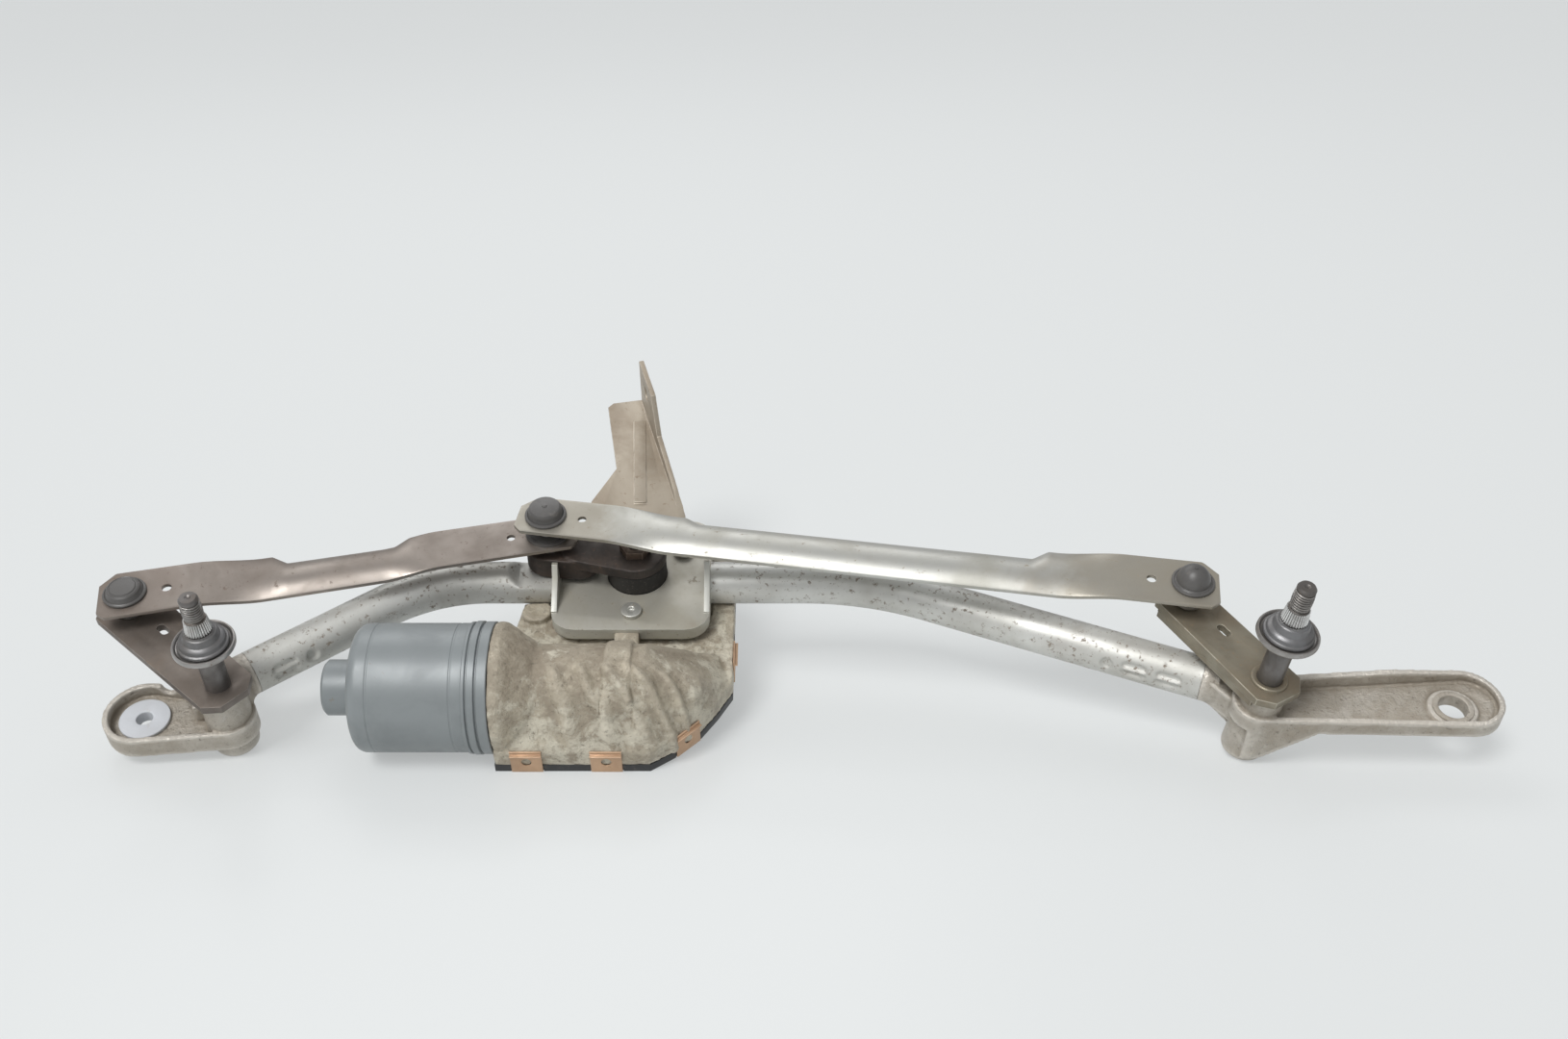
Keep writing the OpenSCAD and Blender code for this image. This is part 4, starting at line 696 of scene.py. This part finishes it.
LEFT_FRONT, RIGHT_FRONT = math.radians(168), math.radians(11)
LEFT_DENTS = [(15, 7.6, LEFT_FRONT, 5, 1.5, 1.3), (30, 4, LEFT_FRONT, 4, 1.8, 0.0)]
RIGHT_DENTS = [(16, 7.6, RIGHT_FRONT, 5, 1.5, 1.3), (34, 7.6, RIGHT_FRONT, 5, 1.5, 1.3),
               (48.5, 4, RIGHT_FRONT, 4, 1.8, 0.0)]
sweep_tube("left_tube_pressed", "left_tube", left_path, LEFT_DENTS, (left_path[-1][2] - FLAT_LEN, FLAT_TOP))
sweep_tube("right_tube_pressed", "right_tube", right_path, RIGHT_DENTS)

# %% [markdown]
# ## Links
# A link is pressed from one strip: flat round the ball sockets, arched between them so that it doesn't
# buckle. The strip is a grid, wide at its pads, and its edges come down along the arch.

# %% Press a strip
LINK_T = 2.0
NEAR_END, FAR_END, BACK_CORNER, FRONT_CORNER = -15.0, 13.5, 8.0, 4.0
CRANK_PAD, ARM_PAD, WAIST = 13.5, 16.0, 9.5
PAD_LEN, WAIST_FROM = 74.0, 82.0
ARCH, ARCH_POWER = 4.0, 2.2


def press_link(name, node, matrix, span, back_side, arch_near, holes, rows=260, columns=20):
    """A strip with a straight front edge, a stepped back edge and an arched middle."""
    low, high = NEAR_END, span + FAR_END
    back_stops = (low, PAD_LEN, WAIST_FROM, span - WAIST_FROM, span - PAD_LEN, high)
    back_widths = (CRANK_PAD, CRANK_PAD, WAIST, WAIST, ARM_PAD, ARM_PAD)
    top, bottom = [], []
    for x in np.linspace(low, high, rows).tolist():
        front = float(np.interp(x, (low, high), (CRANK_PAD, ARM_PAD)))
        back = float(np.interp(x, back_stops, back_widths))
        end_gap = min(x - low, high - x)
        front -= max(0.0, FRONT_CORNER - end_gap)
        back -= max(0.0, BACK_CORNER - end_gap)
        sink = ARCH * smooth_step(x, *arch_near) * (1 - smooth_step(x, span - 70, span - 34))
        for j in range(columns + 1):
            t = 2 * j / columns - 1
            y = back_side * ((back - front) / 2 + t * (back + front) / 2)
            z = LINK_T - sink * abs(t) ** ARCH_POWER
            top.append((x, y, z))
            bottom.append((x, y, z - LINK_T))
    verts = top + bottom
    shift = len(top)
    across = columns + 1
    faces = []
    for i in range(rows - 1):
        for j in range(columns):
            a = i * across + j
            faces.append((a, a + across, a + across + 1, a + 1))
            faces.append((a + shift, a + 1 + shift, a + across + 1 + shift, a + across + shift))
    border = [i * across for i in range(rows)] + [(rows - 1) * across + j for j in range(1, across)]
    border += [i * across + columns for i in range(rows - 2, -1, -1)] + [j for j in range(columns - 1, 0, -1)]
    for a, b in zip(border, border[1:] + border[:1]):
        faces.append((a, b, b + shift, a + shift))
    strip = bpy.data.objects.new(name + "_strip", faced_mesh(name, verts, faces, 35))
    bpy.context.scene.collection.objects.link(strip)
    cutters = []
    for x, y, r in holes:
        bpy.ops.mesh.primitive_cylinder_add(vertices=40, radius=r, depth=20, location=(x, y, 0))
        cutter = bpy.context.active_object
        cut = strip.modifiers.new("hole", "BOOLEAN")
        cut.object = cutter
        cut.solver = "EXACT"
        cutters.append(cutter)
    round_edges = strip.modifiers.new("edges", "BEVEL")
    round_edges.width = 0.35
    round_edges.segments = 2
    round_edges.angle_limit = math.radians(50)
    done = bpy.data.meshes.new_from_object(strip.evaluated_get(bpy.context.evaluated_depsgraph_get()))
    for cutter in cutters:
        bpy.data.objects.remove(cutter)
    bpy.data.objects.remove(strip)
    done.transform(matrix @ Matrix.Scale(MM, 4))
    smooth_mesh(done, 35)
    print(name, len(done.polygons), "faces")
    add_piece(name, done, node)


print("links are", LINK_T, "mm thick and arched by", ARCH, "mm")

# %% [markdown]
# The joints of the frame say where each link starts, on the crank's ball. Its other ball fixes its heading
# and its span. Each link has two large holes for its sockets and two small ones that held it in the press.

# %% Press the two links


def link_frame(joint_name, far):
    """Matrix at a link's crank ball, with X towards the far ball in the linkage plane."""
    place = Vector(joints[joint_name]["pos_m"])
    flat = linkage.inverted() @ place
    heading = math.atan2(far[1] - flat.y / MM, far[0] - flat.x / MM)
    span = math.hypot(far[0] - flat.x / MM, far[1] - flat.y / MM)
    return Matrix.Translation(place) @ tilt @ Matrix.Rotation(heading, 4, "Z"), span


LEFT_FAR = (-263.31, -40.25)
RIGHT_FAR = (290.89, -44.74)
left_link_frame, left_span = link_frame("left_link_swing", LEFT_FAR)
right_link_frame, right_span = link_frame("right_link_swing", RIGHT_FAR)
print("link spans", round(left_span, 1), round(right_span, 1))
SOCKET_HOLE = 9.6
# The crank nut passes under the left link's near end, so its arch starts later there
for label, matrix, span, back_side, arch_near in (("left", left_link_frame, left_span, -1, (58, 90)),
                                                  ("right", right_link_frame, right_span, 1, (34, 70))):
    link_holes = [(0, 0, SOCKET_HOLE), (span, 0, SOCKET_HOLE), (20, 0, 2.3), (span - 21, 0, 2.6)]
    press_link(label + "_link_pressed", label + "_link", matrix, span, back_side, arch_near, link_holes)

# %% [markdown]
# ## Ball caps
# Caps, the can, washers and spindles are all round, so one lathe turns each of them from half of its outline,
# given as radius and height.

# %% Make the lathe


def lathe(name, outline, matrix, ring=False, steps=72):
    """A turned shape from (radius, height) points that start and end on the axis, or that close a ring."""
    verts, faces = [], []
    inner = outline if ring else outline[1:-1]
    n = len(inner)
    for k in range(steps):
        turn = math.tau * k / steps
        verts += [(r * math.cos(turn), r * math.sin(turn), z) for r, z in inner]
        a, b = k * n, ((k + 1) % steps) * n
        faces += [(a + i, b + i, b + i + 1, a + i + 1) for i in range(n - 1)]
        if ring:
            faces.append((a + n - 1, b + n - 1, b, a))
        else:
            faces.append((n * steps, b, a))
            faces.append((n * steps + 1, a + n - 1, b + n - 1))
    if not ring:
        verts += [(0, 0, outline[0][1]), (0, 0, outline[-1][1])]
    return faced_mesh(name, [matrix @ (Vector(v) * MM) for v in verts], faces, 30)


def arc(cx, cz, r, start, end, steps):
    turns = np.radians(np.linspace(start, end, steps)).tolist()
    return [(cx + r * math.cos(a), cz + r * math.sin(a)) for a in turns]


print("lathe ready")

# %% [markdown]
# Each ball socket is a turned plastic shape with a hollow for the ball. Its cap is different at each end: the
# crank's is a flat-topped button, the right one a dome, the left one nearly flat with rings.

# %% Turn the caps
BALL_R, SOCKET_R = 6.65, 9.4
CAP_SHARE = 0.925


def cap_outline(top):
    mouth = math.degrees(math.asin(-3 / BALL_R))
    hollow = [(0, BALL_R)] + arc(0, 0, BALL_R, 88, mouth, 20)
    flange = [(SOCKET_R, -3), (SOCKET_R, 2.05), (10.7, 2.05), (11.1, 2.4), (11.1, 3.2), (10.7, 3.65)]
    return hollow + flange + [(CAP_SHARE * r, z) for r, z in top]


button_top = [(10.6, 3.8), (10.2, 3.5), (9.9, 4), (9.7, 6.4), (9.3, 7.7), (8.5, 8.5), (7.4, 8.8), (1.6, 9.0),
              (1.3, 9.4), (0.6, 9.6), (0, 9.6)]
dome_top = [(10.8, 3.8), (10.4, 3.5), (10, 3.8)] + arc(0, 3.2, 9.6, 6, 84, 14)
dome_top += [(1.2, 12.8), (1.0, 13.2), (0, 13.3)]
ring_top = [(10.9, 3.9), (10.5, 3.6), (9.9, 4.4), (9.2, 6.2), (8.4, 6.8), (7.9, 6.5), (7.4, 6.6), (6.8, 7.2),
            (2, 7.4), (0, 7.4)]
left_far_frame = left_link_frame @ Matrix.Translation((left_span * MM, 0, 0))
right_far_frame = right_link_frame @ Matrix.Translation((right_span * MM, 0, 0))
for cap_name, cap_top, cap_frame, cap_node in (
        ("crank_button_cap", button_top, right_link_frame, "right_crank_socket"),
        ("right_dome_cap", dome_top, right_far_frame, "right_arm_socket"),
        ("left_ring_cap", ring_top, left_far_frame, "left_arm_socket")):
    add_piece(cap_name, lathe(cap_name, cap_outline(cap_top), cap_frame), cap_node)
print("turned three caps")

# %% [markdown]
# ## Motor can
# The can is a deep-drawn cup with a round end, a bearing boss, and a rim rolled in three bands that hold the
# seal against the gear housing. The lathe turns it along the motor's axis, hollow, with its drawn wall.

# %% Turn the can
CAN_R, CAN_WALL, CAN_LEN, CAN_END_X = 33.0, 1.8, 76.0, -142.5
CAN_FACE, CAN_ROUND, BOSS_R, BOSS_END = 5.5, 6.0, 14.3, -11.0
MOTOR_Y, MOTOR_H = -83.7, 36.3
can_outside = [(0, BOSS_END), (BOSS_R - 1.4, BOSS_END), (BOSS_R, BOSS_END + 1.4), (BOSS_R, CAN_FACE - 1.5),
               (BOSS_R + 1.5, CAN_FACE)]
can_outside += arc(CAN_R - CAN_ROUND, CAN_FACE + CAN_ROUND, CAN_ROUND, -90, 0, 10)
can_bands = [(33, 15.6), (32.75, 16), (32.75, 16.6), (33, 17), (33, 57), (32.75, 57.4), (32.75, 58),
             (33, 58.4), (33, 63.2), (33.7, 63.7), (33.7, 65), (33.2, 65.4), (32.8, 65.5), (32.8, 66),
             (33.3, 66.1), (34.1, 66.5), (34.1, 69.6), (33.4, 70), (32.8, 70.1), (32.8, 70.7),
             (33.3, 70.8), (33.8, 71.2), (33.8, 75.6), (33.4, CAN_LEN)]
can_inside = [(CAN_R - CAN_WALL, CAN_LEN), (CAN_R - CAN_WALL, CAN_FACE + CAN_WALL + 3),
              (CAN_R - CAN_WALL - 3, CAN_FACE + CAN_WALL), (BOSS_R - CAN_WALL, CAN_FACE + CAN_WALL),
              (BOSS_R - CAN_WALL, BOSS_END + 0.9), (0, BOSS_END + 0.9)]
can_outline = can_outside + can_bands + can_inside
can_end = Matrix.Translation(Vector((CAN_END_X, MOTOR_Y, MOTOR_H)) * MM)
can_frame = linkage @ can_end @ Matrix.Rotation(math.pi / 2, 4, "Y")
add_piece("drawn_can", lathe("drawn_can", can_outline, can_frame, steps=128), "motor_can")
print("can turned with", len(can_outline), "points")

# %% [markdown]
# ## Spindles
# A thread follows a path and a knurl repeats, so Geometry Nodes makes both from named sizes. These helpers
# add a tree's nodes, end it with real geometry and a material, and run it once to get a plain mesh.

# %% Make helpers for node trees


def new_tree(name, inputs):
    tree = bpy.data.node_groups.new(name, "GeometryNodeTree")
    for label, kind, default in inputs:
        socket = tree.interface.new_socket(label, in_out="INPUT", socket_type=kind)
        if default is not None:
            socket.default_value = default
    tree.interface.new_socket("Geometry", in_out="OUTPUT", socket_type="NodeSocketGeometry")
    return tree


def tree_node(tree, kind, settings=None, **sockets):
    made = tree.nodes.new(kind)
    for key, value in (settings or {}).items():
        setattr(made, key, value)
    for key, value in sockets.items():
        target = made.inputs[socket_key(key)]
        if isinstance(value, bpy.types.NodeSocket):
            tree.links.new(value, target)
        else:
            target.default_value = value
    return made


def tree_sum(tree, operation, first, second):
    return tree_node(tree, "ShaderNodeMath", {"operation": operation}, i0=first, i1=second).outputs[0]


def end_tree(tree, geometry, material):
    real = tree_node(tree, "GeometryNodeRealizeInstances", Geometry=geometry)
    painted = tree_node(tree, "GeometryNodeSetMaterial", Geometry=real.outputs[0], Material=material)
    out = tree_node(tree, "NodeGroupOutput")
    tree.links.new(painted.outputs[0], out.inputs[0])


def run_tree(tree, values):
    """A plain mesh made by a tree with these values for its named inputs."""
    holder = bpy.data.objects.new(tree.name, bpy.data.meshes.new(tree.name))
    bpy.context.scene.collection.objects.link(holder)
    modifier = holder.modifiers.new("tree", "NODES")
    modifier.node_group = tree
    for item in tree.interface.items_tree:
        if item.in_out == "INPUT" and item.name in values:
            modifier[item.identifier] = values[item.name]
    mesh = bpy.data.meshes.new_from_object(holder.evaluated_get(bpy.context.evaluated_depsgraph_get()))
    bpy.data.objects.remove(holder)
    return mesh


print("node helpers ready")

# %% [markdown]
# The thread is a spiral curve with a three-cornered section. One turn rises by the pitch, so the number of
# turns is the length over the pitch.

# %% Build the thread's tree
thread_tree = new_tree("spindle_thread", [
    ("Radius", "NodeSocketFloat", 4.55), ("Pitch", "NodeSocketFloat", 1.5),
    ("Length", "NodeSocketFloat", 12.0), ("Finish", "NodeSocketMaterial", None)])
given = tree_node(thread_tree, "NodeGroupInput")
turns = tree_sum(thread_tree, "DIVIDE", given.outputs["Length"], given.outputs["Pitch"])
helix = tree_node(thread_tree, "GeometryNodeCurveSpiral", Resolution=32, Rotations=turns,
                  Start_Radius=given.outputs["Radius"], End_Radius=given.outputs["Radius"],
                  Height=given.outputs["Length"])
section = tree_node(thread_tree, "GeometryNodeCurvePrimitiveCircle", Resolution=3,
                    Radius=tree_sum(thread_tree, "MULTIPLY", given.outputs["Pitch"], 0.5))
ridge = tree_node(thread_tree, "GeometryNodeCurveToMesh", i0=helix.outputs[0], i1=section.outputs[0],
                  Fill_Caps=True)
end_tree(thread_tree, ridge.outputs[0], given.outputs["Finish"])
print("tree", thread_tree.name, "has", len(thread_tree.nodes), "nodes")

# %% [markdown]
# The knurl is one long tooth set many times round a cone, so that a wiper arm pressed on it can't turn. Each
# tooth leans inward by the cone's slope, and each copy is turned by its share of a full circle.

# %% Build the knurl's tree
knurl_tree = new_tree("cone_knurl", [
    ("Count", "NodeSocketInt", 30), ("Radius", "NodeSocketFloat", 6.2), ("Length", "NodeSocketFloat", 8.0),
    ("Slope", "NodeSocketFloat", 0.1), ("Finish", "NodeSocketMaterial", None)])
given = tree_node(knurl_tree, "NodeGroupInput")
stops = tree_node(knurl_tree, "GeometryNodeMeshLine", Count=given.outputs["Count"], Offset=(0, 0, 0))
tooth = tree_node(knurl_tree, "GeometryNodeMeshCone", Vertices=4, Radius_Top=0.4, Radius_Bottom=0.5,
                  Depth=given.outputs["Length"])
back_lean = tree_sum(knurl_tree, "MULTIPLY", given.outputs["Slope"], -1.0)
lean = tree_node(knurl_tree, "ShaderNodeCombineXYZ", Y=back_lean)
aside = tree_node(knurl_tree, "ShaderNodeCombineXYZ", X=given.outputs["Radius"])
set_tooth = tree_node(knurl_tree, "GeometryNodeTransform", Geometry=tooth.outputs[0],
                      Translation=aside.outputs[0], Rotation=lean.outputs[0])
index = tree_node(knurl_tree, "GeometryNodeInputIndex")
step_angle = tree_sum(knurl_tree, "DIVIDE", math.tau, given.outputs["Count"])
tooth_angle = tree_sum(knurl_tree, "MULTIPLY", index.outputs[0], step_angle)
turn = tree_node(knurl_tree, "ShaderNodeCombineXYZ", Z=tooth_angle)
teeth = tree_node(knurl_tree, "GeometryNodeInstanceOnPoints", Points=stops.outputs[0],
                  Instance=set_tooth.outputs[0], Rotation=turn.outputs[0])
end_tree(knurl_tree, teeth.outputs[0], given.outputs["Finish"])
print("tree", knurl_tree.name, "has", len(knurl_tree.nodes), "nodes")

# %% [markdown]
# A spindle is a plain shaft with a cone and a thread on top. A dished washer and a stepped collar sit on it,
# and the right arm has a raised ring round it. The lathe turns them, and the trees add thread and knurl.

# %% Turn the spindles
KNURL_LEN, THREAD_LEN, SPINDLE_R = 8.5, 14.0, 6.3
THREAD_R, THREAD_PITCH = 4.5, 1.5
KNURL_COUNT, KNURL_R, KNURL_SLOPE = 30, 6.2, 0.11
WASHER = [(6.4, 0.9), (9.5, 0), (14.2, -0.1), (15.2, 0.35), (15.6, 1.1), (15.5, 2.6), (15.1, 3.3),
          (14.5, 3.4), (14, 3), (13.5, 2.2), (12.8, 1.95), (6.4, 2.5)]
ARM_RING = [(6.4, -0.3), (9.6, -0.3), (9.2, 1.1), (8.6, 1.6), (7.2, 1.6), (6.4, 1.2)]
COLLAR = [(6.4, 2.6), (12.5, 2.6), (12.7, 3.2), (12.4, 4), (11.6, 4.4), (11.4, 5), (11.2, 6.2), (10.5, 7),
          (9.3, 7.5), (8.9, 8.2), (8.7, 10.2), (8.3, 11), (7.6, 11.4), (7.3, 12), (6.4, 12)]


def make_spindle(side, pivot, washer_h, low):
    """Heights are in mm along the spindle, from the top of its arm."""
    cone = washer_h + COLLAR[-1][1]
    thread = cone + KNURL_LEN
    tip = thread + THREAD_LEN
    outline = [(0, low), (SPINDLE_R - 0.5, low), (SPINDLE_R, low + 0.5), (SPINDLE_R, washer_h),
               (SPINDLE_R - 0.35, washer_h + 0.2), (SPINDLE_R - 0.35, cone), (SPINDLE_R - 0.1, cone + 0.2),
               (5.2, thread - 0.3), (THREAD_R, thread), (THREAD_R, tip - 2.2), (4.8, tip - 2),
               (4.8, tip - 1.2), (4, tip), (1.6, tip), (0, tip - 1.2)]
    node = side + "_spindle"
    add_piece(side + "_turned_spindle", lathe(side + "_turned_spindle", outline, pivot), node)
    thread_mesh = run_tree(thread_tree, {"Radius": THREAD_R, "Pitch": THREAD_PITCH,
                                         "Length": THREAD_LEN - 3.6, "Finish": finishes["washer_steel"]})
    thread_mesh.transform(pivot @ Matrix.Translation((0, 0, (thread + 0.9) * MM)) @ Matrix.Scale(MM, 4))
    add_piece(side + "_spindle_thread", thread_mesh, node, "washer_steel", stands_for=False)
    knurl_mesh = run_tree(knurl_tree, {"Count": KNURL_COUNT, "Radius": KNURL_R, "Length": KNURL_LEN - 0.9,
                                       "Slope": KNURL_SLOPE, "Finish": finishes["bright_knurl"]})
    knurl_mesh.transform(pivot @ Matrix.Translation((0, 0, (cone + 0.4) * MM)) @ Matrix.Scale(MM, 4))
    add_piece(side + "_spindle_knurl", knurl_mesh, node, "bright_knurl", stands_for=False)
    seat = pivot @ Matrix.Translation((0, 0, washer_h * MM))
    for name, profile, part in (("_dished_washer", WASHER, "_washer"), ("_turned_collar", COLLAR, "_collar")):
        add_piece(side + name, lathe(side + name, profile, seat, ring=True), side + part)
    if side == "right":
        ring = lathe("right_arm_ring", ARM_RING, pivot, ring=True)
        add_piece("right_arm_ring", ring, "right_arm", stands_for=False)
    print(side, "spindle tip", round(tip, 1), "mm above its arm,", len(thread_mesh.polygons), "thread faces")


make_spindle("left", left_pivot, 28.0, -39.5)
make_spindle("right", right_pivot, 31.5, -50.0)

# %% [markdown]
# ## Floor and light
# The linkage lies on a plain pale table in a white room. To the camera and to reflections half of the table
# glows, so the shadows on it stay as weak as they are in a white room.

# %% Make the floor
PALE = (0.74, 0.76, 0.76)
FLOOR_HALF, FLOOR_GLOW = 4, 0.5
floor_mesh = bpy.data.meshes.new("floor")
corners = [(x * FLOOR_HALF, y * FLOOR_HALF, 0) for x, y in ((-1, -1), (1, -1), (1, 1), (-1, 1))]
floor_mesh.from_pydata(corners, [], [(0, 1, 2, 3)])
floor = bpy.data.objects.new("floor", floor_mesh)
bpy.context.scene.collection.objects.link(floor)
paper = Board("pale_table")
floor_mesh.materials.append(paper.finish(PALE, 0.3, 0.0))
seen = sum((paper.node("ShaderNodeLightPath", f"Is {ray} Ray") for ray in ("Glossy", "Transmission")),
           paper.node("ShaderNodeLightPath", "Is Camera Ray"))
glow = paper.node("ShaderNodeEmission", 0, None, Color=(*PALE, 1.0))
lit = Wire(paper, paper.tree.nodes["Principled BSDF"].outputs[0])
blend = paper.node("ShaderNodeMixShader", 0, None, i0=seen * FLOOR_GLOW, i1=lit, i2=glow)
paper.feed(paper.tree.nodes["Material Output"].inputs["Surface"], blend)
print("floor", 2 * FLOOR_HALF, "m wide")

# %% [markdown]
# A soft sun stands over the camera's left shoulder. A window lamp at the back draws the highlights along the
# tubes and links, and a weak lamp in front opens the shadows.

# %% Hang the lamps
SUN_POWER, SUN_SPREAD = 1.9, math.radians(24)


def add_lamp(name, kind, place, power, **settings):
    data = bpy.data.lights.new(name, kind)
    data.energy = power
    for key, value in settings.items():
        setattr(data, key, value)
    lamp = bpy.data.objects.new(name, data)
    lamp.location = place
    lamp.rotation_euler = (-Vector(place)).to_track_quat("-Z", "Y").to_euler()
    bpy.context.scene.collection.objects.link(lamp)


add_lamp("room_sun", "SUN", (-0.7, -1.0, 1.7), SUN_POWER, angle=SUN_SPREAD)
add_lamp("window_lamp", "AREA", (-0.4, 1.2, 1.5), 8, shape="RECTANGLE", size=1.6, size_y=0.8)
add_lamp("front_lamp", "AREA", (-0.5, -1.5, 1.3), 5, shape="RECTANGLE", size=1.2, size_y=0.5)

# %% [markdown]
# The room's white walls give the rest of the light, a little more from above than from below. The camera
# itself sees the table's pale colour behind everything.

# %% Make the world
ROOM_LOW, ROOM_HIGH = 0.4, 0.46
world = bpy.data.worlds.new("studio")
world.use_nodes = True
bpy.context.scene.world = world
sky = world.node_tree
sky_place = sky.nodes.new("ShaderNodeTexCoord")
sky_parts = sky.nodes.new("ShaderNodeSeparateXYZ")
sky_level = sky.nodes.new("ShaderNodeMapRange")
sky_rays = sky.nodes.new("ShaderNodeLightPath")
sky_pale = sky.nodes.new("ShaderNodeBackground")
sky_blend = sky.nodes.new("ShaderNodeMixShader")
sky_room = sky.nodes["Background"]
sky_level.inputs["From Min"].default_value = -0.1
sky_level.inputs["To Min"].default_value = ROOM_LOW
sky_level.inputs["To Max"].default_value = ROOM_HIGH
sky_room.inputs["Color"].default_value = (0.97, 0.985, 1.0, 1)
sky_pale.inputs["Color"].default_value = (*PALE, 1)
sky.links.new(sky_place.outputs["Generated"], sky_parts.inputs[0])
sky.links.new(sky_parts.outputs["Z"], sky_level.inputs["Value"])
sky.links.new(sky_level.outputs[0], sky_room.inputs["Strength"])
sky.links.new(sky_rays.outputs["Is Camera Ray"], sky_blend.inputs[0])
sky.links.new(sky_room.outputs[0], sky_blend.inputs[1])
sky.links.new(sky_pale.outputs[0], sky_blend.inputs[2])
sky.links.new(sky_blend.outputs[0], sky.nodes["World Output"].inputs["Surface"])
bpy.context.scene.view_settings.view_transform = "Standard"
print("room light from", ROOM_LOW, "to", ROOM_HIGH)
